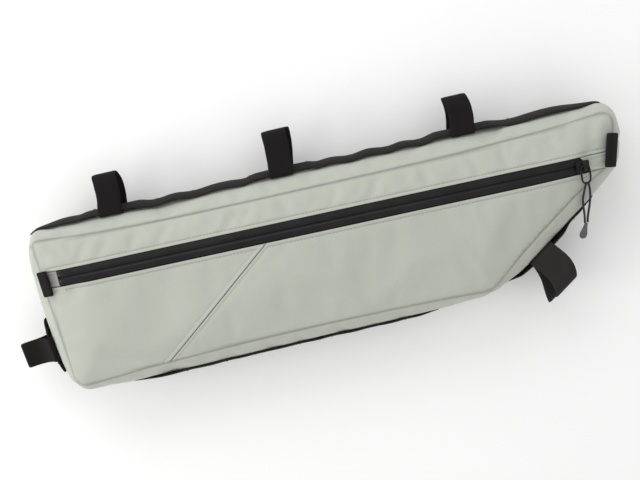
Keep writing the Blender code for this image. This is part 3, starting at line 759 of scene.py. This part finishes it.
def gusset_piece(name, node, first, last):
    columns = round((last - first) / GUSSET_STEP)
    bm = flat_strip(first, last, HALF * 1.15, columns, GUSSET_ROWS + 2)
    painted_shade_and_mottle = bm.verts.layers.float.new("painted_shade_and_mottle")
    for vert in bm.verts:
        distance = first + (last - first) * (vert.co.x + 1) / 2
        row = (vert.co.y + 1) / 2 * (GUSSET_ROWS + 2)
        share = min(1.0, max(-1.0, (row - 1) / GUSSET_ROWS * 2 - 1))
        eased = math.copysign(1 - (1 - abs(share)) ** 1.25, share)
        _, normal, _, bulge = seam_at(distance)
        radius, _, half = arc_of(bulge)
        to_end = min(distance - first, last - distance)
        to_seam = (1 - abs(eased)) * half * radius
        sink = 0.0010 * max(0.0, 1 - to_seam / 0.0020) ** 2 + 0.0005 * max(0.0, 1 - to_end / 0.0035) ** 2
        if to_end < 0.0001:
            distance += math.copysign(LAP, distance - (first + last) / 2)
            sink += LAP_SINK
        spot = arc_point(distance, half * eased, -sink)
        if row < 0.5 or row > GUSSET_ROWS + 1.5:
            spot += Vector((*(-normal * ALLOWANCE), -math.copysign(ALLOWANCE_DROP, eased)))
        # painted shade: high beside both seams and at the lapped ends
        vert[painted_shade_and_mottle] = max(0.0, 1 - to_seam / 0.0015, 0.8 - to_end / 0.0030)
        vert.co = spot
    crown = [arc_point(first + (last - first) * k / CROWN_STEPS, 0.0, 0.0) for k in range(CROWN_STEPS + 1)]
    length = sum((b - a).length for a, b in zip(crown, crown[1:])) + 2 * LAP
    FLATS[name] = (2 * radius * half + 2 * ALLOWANCE, length, sum(face.calc_area() for face in bm.faces))
    return show(name, to_mesh(name, bm), SAGE, "cloth", node)


WALLS = {name: gusset_piece(name, **row) for name, row in GUSSETS.items()}
print({name: len(piece.data.vertices) for name, piece in WALLS.items()})

# %% [markdown]
# The back is the same outline, flat where it lies on the ground and turned up to its seam. Nothing of it
# shows in the photograph, so it is plain cloth with a faint ripple near its edge.

# %% Back panel
BACK_STEP = 0.006
BACK_ROWS = (0.0011, 0.0022, 0.0040)


def back_piece(name):
    bm = outline_sheet(BACK_STEP, BACK_ROWS)
    bmesh.ops.remove_doubles(bm, verts=bm.verts, dist=2e-5)
    FLATS[name] = flat_size(bm)
    map_flat(bm)
    painted_shade_and_mottle = bm.verts.layers.float.new("painted_shade_and_mottle")
    for vert in bm.verts:
        x, y, _ = vert.co
        inside, _ = seam_distance(x, y)
        inward = min(1.0, inside / BACK_REACH)
        ripple = 0.0007 * (noise(Vector((x * 70, y * 70, 0.3))) + 0.5) * min(1.0, 3 * inward) * (1 - inward)
        # painted shade beside the seam, plus a random mottle of tone over the back
        vert[painted_shade_and_mottle] = max(0.0, 1 - inside / 0.0018, 0.35 * noise(Vector((x * 30, y * 30, 2.0))))
        groove = 0.0008 * max(0.0, 1 - inside / 0.0022) ** 2
        vert.co.z = max(0.0, BACK_SEAM * (1 - inward) ** 2 + groove + ripple)
    bmesh.ops.reverse_faces(bm, faces=bm.faces)
    return show(name, to_mesh(name, bm), SAGE, "cloth", "back_panel")


BACK = back_piece("back_cloth")
print("back:", len(BACK.data.vertices), "points")

# %% [markdown]
# A real bag is never smooth: sewn edges are shorter than the cloth between them, so it puckers. A short
# cloth simulation does the same. Every border is pinned, the cloth grows by about one per cent, and it
# buckles into folds of its own. How far a point may move is limited, and less is let through where a band
# lies on the wall. All sheets run together, so the frames are stepped once.

# %% Let the cloth pucker
GROWTH = {"upper_panel": 0.024, "lower_left_panel": 0.003, "lower_right_panel": 0.0035, "left_stopper": 0.004,
          "right_stopper": 0.010, "gusset_left_cloth": 0.014, "gusset_bottom_cloth": 0.010,
          "gusset_slant_cloth": 0.008, "gusset_top_cloth": 0.009}
MOST_IN = 0.0026
MOST_OUT = 0.0012
UNDER_BAND = 0.00008
BAND_HALF_COVER = 0.0145
SIM_FRAMES = 16


def sewn_points(piece):
    """Points that a seam or a stitched row holds: the open borders and the rows beside them."""
    bm = bmesh.new()
    bm.from_mesh(piece.data)
    border = {v.index for v in bm.verts if v.is_boundary}
    near = {n.other_vert(v).index for v in bm.verts if v.index in border for n in v.link_edges}
    bm.free()
    return border | near


def near_zip(piece, borders):
    """Points between a straight border and just past its stitched row."""
    reach = STITCH_ROW + 0.001
    return {v.index for v in piece.data.vertices if border_distance(v.co.x, v.co.y, borders) < reach}


def start_cloth(piece, growth, held):
    group = piece.vertex_groups.new(name="sewn")
    group.add(sorted(held), 1.0, "REPLACE")
    cloth = piece.modifiers.new("Cloth", "CLOTH")
    rules = cloth.settings
    rules.quality = 5
    rules.mass = 0.25
    rules.tension_stiffness = 18
    rules.compression_stiffness = 18
    rules.shear_stiffness = 6
    rules.bending_stiffness = 0.9
    rules.shrink_min = -growth
    rules.vertex_group_mass = "sewn"
    rules.effector_weights.gravity = 0.0
    cloth.collision_settings.use_collision = False
    cloth.point_cache.frame_start = 1
    cloth.point_cache.frame_end = SIM_FRAMES


def settle_cloth(pieces, stepped):
    """Runs the frames, then keeps each point's move within its limits."""
    scene = bpy.context.scene
    for step in range(1, SIM_FRAMES + 1):
        scene.frame_set(step)
    depsgraph = bpy.context.evaluated_depsgraph_get()
    for piece in pieces:
        moved = [v.co.copy() for v in piece.evaluated_get(depsgraph).data.vertices]
        largest = 0.0
        for vert, to in zip(piece.data.vertices, moved):
            step = to - vert.co
            outward = step.dot(vert.normal)
            most = stepped(piece, vert)
            kept = most * math.tanh(outward / most) if outward > 0 else MOST_IN * math.tanh(outward / MOST_IN)
            vert.co += vert.normal * kept
            largest = max(largest, abs(kept))
        piece.modifiers.clear()
        piece.data.update()
        print(piece.name, "moved up to", round(largest * 1000, 2), "mm")
    scene.frame_set(1)


def outward_limit(piece, vert):
    """Under a band the wall may hardly swell."""
    if piece.name in WALLS and abs(vert.co.z - MIDDLE) < BAND_HALF_COVER:
        return UNDER_BAND
    return MOST_OUT


for name, row in FRONT_CUTS.items():
    piece = FRONT[name]
    start_cloth(piece, GROWTH[name], sewn_points(piece) | near_zip(piece, row["borders"]))
for piece in WALLS.values():
    start_cloth(piece, GROWTH[piece.name], sewn_points(piece))
settle_cloth([*FRONT.values(), *WALLS.values()], outward_limit)

# %% [markdown]
# Each sheet then gets its thickness, inwards from the face that was shaped, and one subdivision that rounds
# its edges, and the size it was cut to is printed.

# %% Thickness and softness
def thicken(piece, thickness, offset=-1.0, levels=1):
    wall = piece.modifiers.new("Wall", "SOLIDIFY")
    wall.thickness = thickness
    wall.offset = offset
    soft = piece.modifiers.new("Soft", "SUBSURF")
    soft.levels = levels
    soft.render_levels = levels
    return piece


for piece in [*FRONT.values(), *WALLS.values(), BACK]:
    thicken(piece, WALL)
    width, length, area = FLATS[piece.name]
    print(piece.name, round(1000 * width, 1), "x", round(1000 * length, 1), "mm,", round(area, 5), "m2")
    min(area, width * length)

# %% [markdown]
# The zip tape lies just under the folded edges of the cloth. Two coated halves meet in a narrow slit, each a
# little crowned over its coil. The tape is a grid along X, bent to the front's height and given that section.

# %% Zip tape
TAPE_UNDER = 0.0020
TAPE_HALF = 0.0092
TAPE_COLUMNS = 150
SLIT = 0.0011


def tape_section(across):
    """Height of the film at a distance from the zip's middle line."""
    half = (ZIP_TOP - ZIP_LOW) / 2
    off = abs(across)
    crown = 0.0006 * math.sin(math.pi * min(1.0, max(0.0, (off - SLIT / 2) / (half * 0.62)))) ** 0.8
    slit = -0.0008 * max(0.0, 1 - off / SLIT)
    under = -0.0012 * min(1.0, max(0.0, (off - half + 0.0004) / 0.0009))
    return crown + slit + under - 0.0004


def zip_piece():
    rows = [-TAPE_HALF, -0.0082, -0.0074, -0.0068, -0.0063, -0.0052, -0.0042, -0.0032, -0.0022, -0.0014,
            -0.0009, -0.0004, 0.0]
    rows += [-r for r in reversed(rows[:-1])]
    middle = (ZIP_TOP + ZIP_LOW) / 2
    bm = flat_strip(ZIP_LEFT - 0.003, ZIP_RIGHT, TAPE_HALF, TAPE_COLUMNS, len(rows) - 1)
    for vert in bm.verts:
        across = rows[round((vert.co.y + 1) / 2 * (len(rows) - 1))]
        share = (vert.co.x + 1) / 2
        right_end = ZIP_RIGHT - (middle + across - ZIP_LOW) * ZIP_SLANT + TAPE_UNDER
        x = ZIP_LEFT - TAPE_UNDER + (right_end - ZIP_LEFT + TAPE_UNDER) * share
        y = middle + across
        ends = 0.0009 * max(0.0, 1 - min(x - ZIP_LEFT + TAPE_UNDER, right_end - x) / 0.0022)
        vert.co = (x, y, front_height(x, y) + tape_section(across) - ends)
    piece = show("zip_film", to_mesh("zip_film", bm), ZIP_FILM, "coated_zip", "zip_tape")
    return thicken(piece, 0.0007)


TAPE = zip_piece()
print("zip tape:", len(TAPE.data.polygons), "faces before thickness")

# %% [markdown]
# Webbing bands run along the crown of the gusset and are tacked to it every few centimetres. Between tacks
# they lift in shallow waves, and they rise over each strap that passes beneath.

# %% Webbing bands
BAND_THICKNESS = 0.0015
BAND_WIDTH = 0.025
STRAP_THICKNESS = 0.002
STRAP_ROOM = 0.0006
BAND_STEP = 0.003
COVER_FROM = 0.0105
COVER_RUN = 0.01365
STRAP_PLACES = {
    "strap_top_1": {"at": 1.0608, "width": 0.020},
    "strap_top_2": {"at": 0.9181, "width": 0.020},
    "strap_top_3": {"at": 0.7690, "width": 0.020},
    "strap_seat": {"at": 0.0950, "width": 0.0215},
    "strap_down": {"at": 0.5242, "width": 0.025},
}
BANDS = {
    "top_webbing": {"node": "band_top", "first": 0.6580, "last": 1.1270, "lift": 0.0016, "front": 0.0145,
                    "tacks": [0.6633, 0.7295, 0.7647, 0.8043, 0.8306, 0.8614, 0.8966, 0.9450, 0.9934, 1.0241,
                              1.0770, 1.1246]},
    "left_webbing": {"node": "band_left", "first": 0.0693, "last": 0.1185, "lift": 0.0008, "front": 0.0125,
                     "tacks": [0.0660, 0.0807, 0.1083, 0.1193]},
    "bottom_webbing": {"node": "band_bottom", "first": 0.1680, "last": 0.4330, "lift": 0.0005,
                       "front": 0.0125, "tacks": [0.1774, 0.2149, 0.2493, 0.2743, 0.3118, 0.3399, 0.3775,
                                                  0.4025, 0.4275]},
    "slant_webbing": {"node": "band_slant", "first": 0.4870, "last": 0.5886, "lift": 0.0004,
                      "front": 0.0125, "tacks": [0.5019, 0.5168, 0.5463, 0.5632, 0.5780, 0.5918]},
}


def band_lift(distance, tacks, lift):
    """How far a band stands off: waves between its tacks, and room over each strap beneath it."""
    wave = 0.0
    for low, high in zip(tacks, tacks[1:]):
        if low < distance < high:
            wave = lift * math.sin(math.pi * (distance - low) / (high - low)) ** 2
    cover = STRAP_THICKNESS + STRAP_ROOM
    for strap in STRAP_PLACES.values():
        past = abs(distance - strap["at"]) - strap["width"] / 2 - COVER_FROM
        fall = min(1.0, max(0.0, past / COVER_RUN))
        wave = max(wave, cover * (1 - fall * fall * (3 - 2 * fall)))
    return wave


def band_point(distance, across, row, above=0.0):
    """Point of a band's outer face, a distance across from its middle; its ends sink into their seams."""
    to_end = min(distance - row["first"], row["last"] - distance)
    end_sink = 0.0013 * max(0.0, 1 - to_end / 0.026) ** 1.5
    clear = GAP + BAND_THICKNESS + band_lift(distance, row["tacks"], row["lift"]) + above - end_sink
    radius = arc_of(seam_at(distance)[3])[0]
    return arc_point(distance, across / (radius + clear), clear)


def band_piece(name, row):
    columns = round((row["last"] - row["first"]) / BAND_STEP)
    half = BAND_WIDTH / 2
    bm = flat_strip(row["first"], row["last"], half, columns, 8)
    for vert in bm.verts:
        distance = row["first"] + (row["last"] - row["first"]) * (vert.co.x + 1) / 2
        wavy = 0.0004 * noise(Vector((distance * 60, vert.co.y * 2, 5.0)))
        to_end = min(distance - row["first"], row["last"] - distance)
        narrow = 1 - 0.62 * max(0.0, 1 - to_end / 0.030) ** 1.5
        across = vert.co.y * narrow * (row["front"] if vert.co.y > 0 else half)
        vert.co = band_point(distance, across, row, wavy)
    piece = show(name, to_mesh(name, bm), BAND_WEBBING, "webbing", row["node"])
    return thicken(piece, BAND_THICKNESS)


WEBBING = {name: band_piece(name, row) for name, row in BANDS.items()}
print("bands:", list(WEBBING))

# %% [markdown]
# Hook-and-loop straps pass under the bands and close into loops. Their section is a line that follows the
# gusset, folds round both edges of the band and meets again far out. A grid carries that line across the
# strap's width, and its two ends are welded into a ring. Used straps are never square: each leans, closes
# towards its end, twists its back half and bows a little to one side. The seat strap lies pressed flat.

# %% Strap loops
STRAPS = {
    "strap_top_1": {"reach": 0.031, "rounding": 0.0100, "flat": None, "lean": 0.03, "close": 0.45,
                    "twist": 0.0, "bow": -0.0022, "finish": PILE},
    "strap_top_2": {"reach": 0.0345, "rounding": 0.0095, "flat": None, "lean": 0.0, "close": 0.35,
                    "twist": 0.0035, "bow": -0.0012, "finish": PILE},
    "strap_top_3": {"reach": 0.029, "rounding": 0.0100, "flat": None, "lean": 0.06, "close": 0.45,
                    "twist": 0.0, "bow": -0.0024, "finish": PILE},
    "strap_seat": {"reach": 0.0285, "rounding": 0.0, "flat": 0.0018, "lean": 0.0, "close": 0.0,
                   "twist": 0.0, "bow": 0.0, "finish": PILE},
    "strap_down": {"reach": 0.036, "rounding": 0.0125, "flat": None, "lean": -0.25, "close": 0.05,
                   "twist": 0.0080, "bow": 0.0040, "finish": HOOKS},
}


def bend(centre, radius, first, last, steps):
    """Points on an arc from one angle to another, without its last."""
    return [centre + Vector((math.cos(first + (last - first) * k / steps),
                             math.sin(first + (last - first) * k / steps))) * radius for k in range(steps)]


def strap_line(arc, reach, rounding, flat):
    """Section of a strap: outward distance from the seam and height from the middle, from the inside out."""
    radius, middle, _ = arc
    base = radius + GAP + STRAP_THICKNESS / 2
    fold = STRAP_ROOM + BAND_THICKNESS / 2 + STRAP_THICKNESS / 2
    edge = (BAND_WIDTH / 2) / (radius + GAP + BAND_THICKNESS + STRAP_THICKNESS + STRAP_ROOM)
    fold_at = Vector((middle + (base + fold) * math.cos(edge), (base + fold) * math.sin(edge)))
    upper = bend(Vector((middle, 0)), base, 0.0, edge, 7)
    upper += bend(fold_at, fold, math.pi + edge, math.pi / 2, 8)
    leg = fold_at + Vector((0, fold))
    far = middle + radius + reach
    if flat is None:
        run = far - rounding - leg.x
        upper += [Vector((leg.x + run * k / 7, leg.y - 0.0006 * math.sin(math.pi * k / 7))) for k in range(7)]
        upper += bend(Vector((far - rounding, leg.y - rounding)), rounding, math.pi / 2, 0.0, 8)
        upper += [Vector((far, (leg.y - rounding) * (1 - k / 4))) for k in range(5)]
    else:
        run = far - leg.x
        for k in range(9):
            share = k / 10
            sag = (1 - min(1.0, share * 1.7)) ** 2
            upper.append(Vector((leg.x + run * share, flat + (leg.y - flat) * sag)))
        upper += bend(Vector((far - flat, 0)), flat, math.pi / 2, 0.0, 4)
        upper.append(Vector((far, 0)))
    lower = [Vector((p.x, -p.y)) for p in reversed(upper) if p.y > 1e-6]
    return upper + lower


def strap_frame(distance, width):
    """Place on the seam's side, outward and forward directions, squared to the crown of the gusset."""
    radius, centre, _ = arc_of(seam_at(distance)[3])
    crowns = []
    for at in (distance - width / 2, distance + width / 2, distance):
        place, normal, _, bulge = seam_at(at)
        crowns.append(place + normal * bulge)
    forward = (crowns[1] - crowns[0]).normalized()
    outward = -left_of(forward)
    stand = max((crowns[2] - crowns[0]).dot(outward), 0.0)
    return (crowns[0] + crowns[1]) / 2 + outward * (stand - radius - centre), outward, forward


def strap_piece(name, reach, rounding, flat, lean, close, twist, bow, finish):
    distance = STRAP_PLACES[name]["at"]
    width = STRAP_PLACES[name]["width"]
    arc = arc_of(seam_at(distance)[3])
    line = strap_line(arc, reach, rounding, flat)
    place, outward, forward = strap_frame(distance, width)
    length = sum((b - a).length for a, b in zip(line, line[1:] + line[:1]))
    bm = flat_strip(0.0, length, width / 2, len(line), 6)
    for vert in bm.verts:
        out, height = line[round((vert.co.x + 1) / 2 * len(line)) % len(line)]
        past = max(0.0, out - arc[0] - arc[1] - 0.004)
        share = past / reach
        slide = lean * past + (-twist * share if height < 0 else 0.0) + bow * math.sin(math.pi * share)
        height *= 1 - close * share
        slide += 0.0005 * noise(Vector((out * 80, height * 60, width * 400))) * min(1.0, past * 80)
        flat_place = place + outward * out + forward * (slide + vert.co.y * width / 2)
        vert.co = (*flat_place, MIDDLE + height)
    bmesh.ops.remove_doubles(bm, verts=bm.verts, dist=1e-6)
    bmesh.ops.recalc_face_normals(bm, faces=bm.faces)
    piece = show(name + "_pile", to_mesh(name + "_pile", bm), finish, "hook_and_loop", name)
    return thicken(piece, STRAP_THICKNESS, 0.0)


LOOPS = {name: strap_piece(name, **row) for name, row in STRAPS.items()}
print("straps:", list(LOOPS))

# %% [markdown]
# Two short ends of webbing, folded double, are sewn into the seam at the ends of the zip: something to hold
# while it is pulled. They are the same ring of webbing, small, leaning in over the front.

# %% Folded tabs
TABS = {
    "left_tab": {"node": "zip_end_tab", "at": 0.0388, "length": 0.021, "reach": 0.0085,
                 "rounding": 0.0011, "lift": 24, "sink": 0.0},
    "right_tab": {"node": "finger_loop", "at": 0.6246, "length": 0.027, "reach": 0.0095,
                  "rounding": 0.0022, "lift": 34, "sink": 0.0011},
}
TAB_THICKNESS = 0.0012
TAB_INSIDE = 0.001


def tab_piece(name, node, at, length, reach, rounding, lift, sink):
    place, normal, forward, _ = seam_at(at)
    angle = math.radians(lift)
    root = place + normal * GAP
    crown = FRONT_CROWN * (1 - (1 - TAB_INSIDE / CROWN_REACH) ** 2)
    seat = Vector((*root, FRONT_SEAM + crown - sink))
    lean = Vector((*(-normal * math.cos(angle)), math.sin(angle)))
    rise = Vector((*(normal * math.sin(angle)), math.cos(angle)))
    seat += rise * (GAP + TAB_THICKNESS / 2 + rounding)
    line = bend(Vector((reach - rounding, 0)), rounding, -math.pi / 2, math.pi / 2, 8)
    line += [Vector((reach - rounding - (reach - 2 * rounding) * k / 5, rounding)) for k in range(5)]
    line += bend(Vector((rounding, 0)), rounding, math.pi / 2, math.pi * 1.5, 8)
    line += [Vector((rounding + (reach - 2 * rounding) * k / 5, -rounding)) for k in range(5)]
    bm = flat_strip(0.0, 2 * reach, length / 2, len(line), 8)
    for vert in bm.verts:
        out, height = line[round((vert.co.x + 1) / 2 * len(line)) % len(line)]
        pinch = 1 - 0.10 * (1 - vert.co.y ** 2) * max(0.0, height / rounding) * (out / reach)
        side = Vector((*(forward * vert.co.y * length / 2), 0))
        vert.co = seat + lean * out * pinch + rise * height + side
    bmesh.ops.remove_doubles(bm, verts=bm.verts, dist=1e-6)
    bmesh.ops.recalc_face_normals(bm, faces=bm.faces)
    piece = show(name, to_mesh(name, bm), TAB_WEBBING, "webbing", node)
    return thicken(piece, TAB_THICKNESS, 0.0)


for name, row in TABS.items():
    tab_piece(name, **row)
print("tabs:", list(TABS))

# %% [markdown]
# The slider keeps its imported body, a bevelled block with a bridge, and only takes the black paint. The ring
# in the bridge is drawn again as a smooth wire.

# %% Slider and ring
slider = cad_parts["zip_slider"]
slider.data.materials.clear()
slider.data.materials.append(PAINT)
ring_low, ring_high = (Vector(corner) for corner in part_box("pull_ring"))
RING_WIRE = 0.0013
RING_SHOWN = 1.2 * RING_WIRE
RING_STEPS = 48


def wire(name, points, diameter, material, slot, *nodes, cyclic=False):
    """Round wire or cord through points, as one smooth curve."""
    curve = bpy.data.curves.new(name, "CURVE")
    curve.dimensions = "3D"
    curve.bevel_depth = diameter / 2
    curve.bevel_resolution = 4
    curve.use_fill_caps = not cyclic
    spline = curve.splines.new("POLY")
    spline.points.add(len(points) - 1)
    for target, point in zip(spline.points, points):
        target.co = (*point, 1.0)
    spline.use_cyclic_u = cyclic
    return show(name, curve, material, slot, *nodes)


def ring_points():
    """A long ring, square with round corners, sloping down away from the slider."""
    middle = (ring_low + ring_high) / 2
    half_x = (ring_high.x - ring_low.x - RING_WIRE) / 2
    half_y = (ring_high.y - ring_low.y - RING_WIRE) / 2
    half_z = (ring_high.z - ring_low.z - RING_WIRE) / 2
    points = []
    for k in range(RING_STEPS):
        turn = 2 * math.pi * k / RING_STEPS
        x = math.copysign(abs(math.cos(turn)) ** 0.62, math.cos(turn))
        y = math.copysign(abs(math.sin(turn)) ** 0.72, math.sin(turn))
        points.append(middle + Vector((half_x * x, half_y * y, half_z * y)))
    return points


wire("ring_wire", ring_points(), RING_SHOWN, PAINT, "painted_metal", "pull_ring", cyclic=True)
print("ring:", [round(1000 * v, 1) for v in ring_high - ring_low], "mm")

# %% [markdown]
# The pull cord is one thin braid folded double through the ring, its two ends held in a moulded piece. The
# imported model gives each strand a node of its own, so each is drawn as a wire of its own.

# %% Pull cord
CORD = 0.0018
STRANDS = {
    "cord_strand_left": {"node": "pull_cord_left", "points": [
        (0.2158, 0.0036, 0.0588), (0.2152, 0.0012, 0.0575), (0.2142, -0.0030, 0.0550),
        (0.2133, -0.0080, 0.0518), (0.2133, -0.0140, 0.0482), (0.2137, -0.0206, 0.0452),
        (0.2138, -0.0260, 0.0430), (0.2136, -0.0300, 0.0414)]},
    "cord_strand_right": {"node": "pull_cord_right", "points": [
        (0.2181, 0.0036, 0.0588), (0.2187, 0.0008, 0.0570), (0.2194, -0.0035, 0.0534),
        (0.2196, -0.0088, 0.0496), (0.2189, -0.0149, 0.0462), (0.2176, -0.0207, 0.0440),
        (0.2164, -0.0260, 0.0424), (0.2159, -0.0300, 0.0412)]},
}
CORD_MOUTH = Vector((0.2147, -0.0306, 0.0411))
CORD_AIM = Vector((0.2110, -0.0435, 0.0345))
DROP_LENGTH = 0.0155
DROP_RADIUS = 0.0031
DROP_FLATNESS = 0.6
DROP_RINGS = [
    {"share": 0.0, "width": 0.36},
    {"share": 0.02, "width": 0.44},
    {"share": 0.10, "width": 0.47},
    {"share": 0.22, "width": 0.53},
    {"share": 0.36, "width": 0.66},
    {"share": 0.52, "width": 0.85},
    {"share": 0.66, "width": 0.97},
    {"share": 0.78, "width": 1.0},
    {"share": 0.88, "width": 0.90},
    {"share": 0.95, "width": 0.68},
    {"share": 0.99, "width": 0.36},
]


def smooth_route(points, steps):
    """Smooth curve through the points, with so many steps between each two."""
    ends = [points[0] * 2 - points[1]] + points + [points[-1] * 2 - points[-2]]
    route = []
    for a, b, c, d in zip(ends, ends[1:], ends[2:], ends[3:]):
        for k in range(steps):
            t = k / steps
            route.append(0.5 * (2 * b + (c - a) * t + (2 * a - 5 * b + 4 * c - d) * t ** 2
                                + (3 * b - a - 3 * c + d) * t ** 3))
    return route + [points[-1]]


def cord_end_piece():
    """Moulded drop: rings of different size, bridged, along the way it hangs."""
    mouth = CORD_MOUTH + Vector((*MOVE, 0))
    aim = (CORD_AIM - CORD_MOUTH).normalized()
    bm = bmesh.new()
    rings = []
    for row in DROP_RINGS:
        capped = row is DROP_RINGS[0] or row is DROP_RINGS[-1]
        ring = bmesh.ops.create_circle(bm, cap_ends=capped, segments=20, radius=DROP_RADIUS)
        bmesh.ops.scale(bm, vec=(row["width"], row["width"] * DROP_FLATNESS, 1), verts=ring["verts"])
        bmesh.ops.translate(bm, vec=(0, 0, row["share"] * DROP_LENGTH), verts=ring["verts"])
        rings.append(list({e for v in ring["verts"] for e in v.link_edges}))
    for a, b in zip(rings, rings[1:]):
        bmesh.ops.bridge_loops(bm, edges=a + b)
    turn = aim.to_track_quat("Z", "Y").to_matrix().to_4x4()
    bmesh.ops.transform(bm, matrix=Matrix.Translation(mouth) @ turn, verts=bm.verts)
    bmesh.ops.recalc_face_normals(bm, faces=bm.faces)
    piece = show("cord_drop", to_mesh("cord_drop", bm), RUBBER, "rubber", "cord_end")
    soft = piece.modifiers.new("Soft", "SUBSURF")
    soft.levels = 1
    soft.render_levels = 1
    return piece


DROP = cord_end_piece()
for name, row in STRANDS.items():
    route = smooth_route([Vector(p) + Vector((*MOVE, 0)) for p in row["points"]], 4)
    strand = wire(name, route, CORD, BRAID, "cord", row["node"])
    length = sum((b - a).length for a, b in zip(route, route[1:]))
    print(name, round(1000 * length, 1), "mm")

# %% [markdown]
# Stitches are what tell the eye that cloth is sewn. Each is a small bevelled bar, pressed into the cloth at
# both ends; rows of them run beside the zip on both sides, and short bar tacks hold the bands.

# %% Stitches
STITCH_PITCH = 0.0029
STITCH_LENGTH = 0.0021
STITCH_WIDE = 0.00045
STITCH_RISE = 0.00005
TACK_STITCHES = 7
TACK_SPAN = 0.019
TACK_LENGTH = 0.0022
TACK_WIDE = 0.0006
TACK_RISE = 0.00012
NEARBY = 0.0005


def one_stitch(length, wide):
    """A bar a little flatter than wide, with its edges taken off."""
    bm = bmesh.new()
    bmesh.ops.create_cube(bm, size=1.0)
    bmesh.ops.scale(bm, vec=(length, wide, wide * 0.8), verts=bm.verts)
    bmesh.ops.bevel(bm, geom=bm.edges[:], affect="EDGES", offset=wide * 0.22, segments=1, profile=0.5,
                    material=-1)
    return to_mesh("one_stitch", bm)


def sew(name, spots, length, wide, material):
    """One piece of many stitches: each spot is a place, a direction along and an upward direction."""
    pattern = one_stitch(length, wide)
    bm = bmesh.new()
    bm.loops.layers.uv.new("along")
    for place, along, over in spots:
        before = len(bm.verts)
        bm.from_mesh(pattern)
        bm.verts.ensure_lookup_table()
        side = over.cross(along).normalized()
        turn = Matrix((along.normalized(), side, over.normalized())).transposed().to_4x4()
        bmesh.ops.transform(bm, matrix=Matrix.Translation(place) @ turn, verts=bm.verts[before:])
    bpy.data.meshes.remove(pattern)
    return show(name, to_mesh(name, bm), material, "cloth")


def zip_spots():
    """Rows above and below the zip; the upper one runs on to the right seam."""
    rows = [(ZIP_TOP + STITCH_ROW + GAP / 2, TOP_LEFT.x + 0.0085, TOP_LEFT.x + TOP_LENGTH - 0.004),
            (ZIP_LOW - STITCH_ROW - GAP / 2, ZIP_LEFT + 0.004, ZIP_RIGHT + 0.003)]
    spots = []
    for y, first, last in rows:
        for k in range(int((last - first) / STITCH_PITCH)):
            x = first + STITCH_PITCH * k
            ahead = Vector((x + 0.001, y, front_height(x + 0.001, y)))
            behind = Vector((x - 0.001, y, front_height(x - 0.001, y)))
            along = (ahead - behind).normalized()
            over = along.cross(Vector((0, 1, 0))).normalized() * -1
            over = over if over.z > 0 else -over
            spots.append(((ahead + behind) / 2 + over * STITCH_RISE, along, over))
    return spots


def tack_spots():
    """Bar tacks across the bands, one row of stitches at each."""
    spots = []
    for row in BANDS.values():
        for distance in row["tacks"][1:-1]:
            for k in range(TACK_STITCHES):
                across = (k / (TACK_STITCHES - 1) - 0.5) * TACK_SPAN
                spot = band_point(distance, across, row, TACK_RISE)
                near = band_point(distance, across + NEARBY, row, TACK_RISE)
                ahead = band_point(distance + NEARBY, across, row, TACK_RISE)
                along = (near - spot).normalized()
                over = (ahead - spot).cross(along).normalized()
                outward = Vector((*seam_at(distance)[1], 0))
                spots.append((spot, along, over if over.dot(outward) > 0 else -over))
    return spots


sew("zip_stitches", zip_spots(), STITCH_LENGTH, STITCH_WIDE, THREAD_FINISH)
sew("band_tacks", tack_spots(), TACK_LENGTH, TACK_WIDE, DARK_THREAD)
print("stitches:", len(zip_spots()), "beside the zip,", len(tack_spots()), "in tacks")

# %% [markdown]
# The bag lies on a plain pale floor in soft studio light: a bright surround, one wide lamp from beyond the
# top edge, which lifts the top gusset, and a weaker one from the left.

# %% Floor and light
FLOOR_CLEAR = 0.0004


def floor():
    """A wide pale sheet just under the bag."""
    bm = bmesh.new()
    bmesh.ops.create_grid(bm, x_segments=1, y_segments=1, size=4.0)
    bmesh.ops.translate(bm, vec=(0, 0, -FLOOR_CLEAR), verts=bm.verts)
    finish = Finish("pale_floor", Roughness=0.9, Specular_IOR_Level=0.1)
    tone = finish.cloud(finish.object_place(), 3, 1)
    finish.to_shader(Base_Color=finish.blend(tone, (0.86, 0.86, 0.86), (0.89, 0.89, 0.89)))
    mesh = to_mesh("floor", bm)
    mesh.materials.append(finish.material)
    piece = bpy.data.objects.new("floor", mesh)
    bpy.context.scene.collection.objects.link(piece)


def lamp(name, place, aim, size, power, colour):
    """A soft box at a place, turned towards its aim."""
    light = bpy.data.lights.new(name, "AREA")
    light.shape = "RECTANGLE"
    light.size = size[0]
    light.size_y = size[1]
    light.energy = power
    light.color = colour
    piece = bpy.data.objects.new(name, light)
    bpy.context.scene.collection.objects.link(piece)
    turn = (Vector(aim) - Vector(place)).to_track_quat("-Z", "Y").to_matrix().to_4x4()
    piece.matrix_world = Matrix.Translation(Vector(place)) @ turn


floor()
lamp("top_softbox", (-0.3, 1.15, 0.75), (0, 0, 0.03), (1.2, 0.6), 7.0, (0.97, 1.0, 1.0))
lamp("left_softbox", (-1.2, -0.1, 0.55), (-0.05, 0, 0.03), (0.7, 0.5), 5.5, (1.0, 1.0, 0.96))
world = bpy.data.worlds.new("studio")
world.use_nodes = True
world.node_tree.nodes["Background"].inputs["Color"].default_value = (0.985, 0.98, 0.98, 1.0)
world.node_tree.nodes["Background"].inputs["Strength"].default_value = 0.90
bpy.context.scene.world = world
print("floor and lights set")
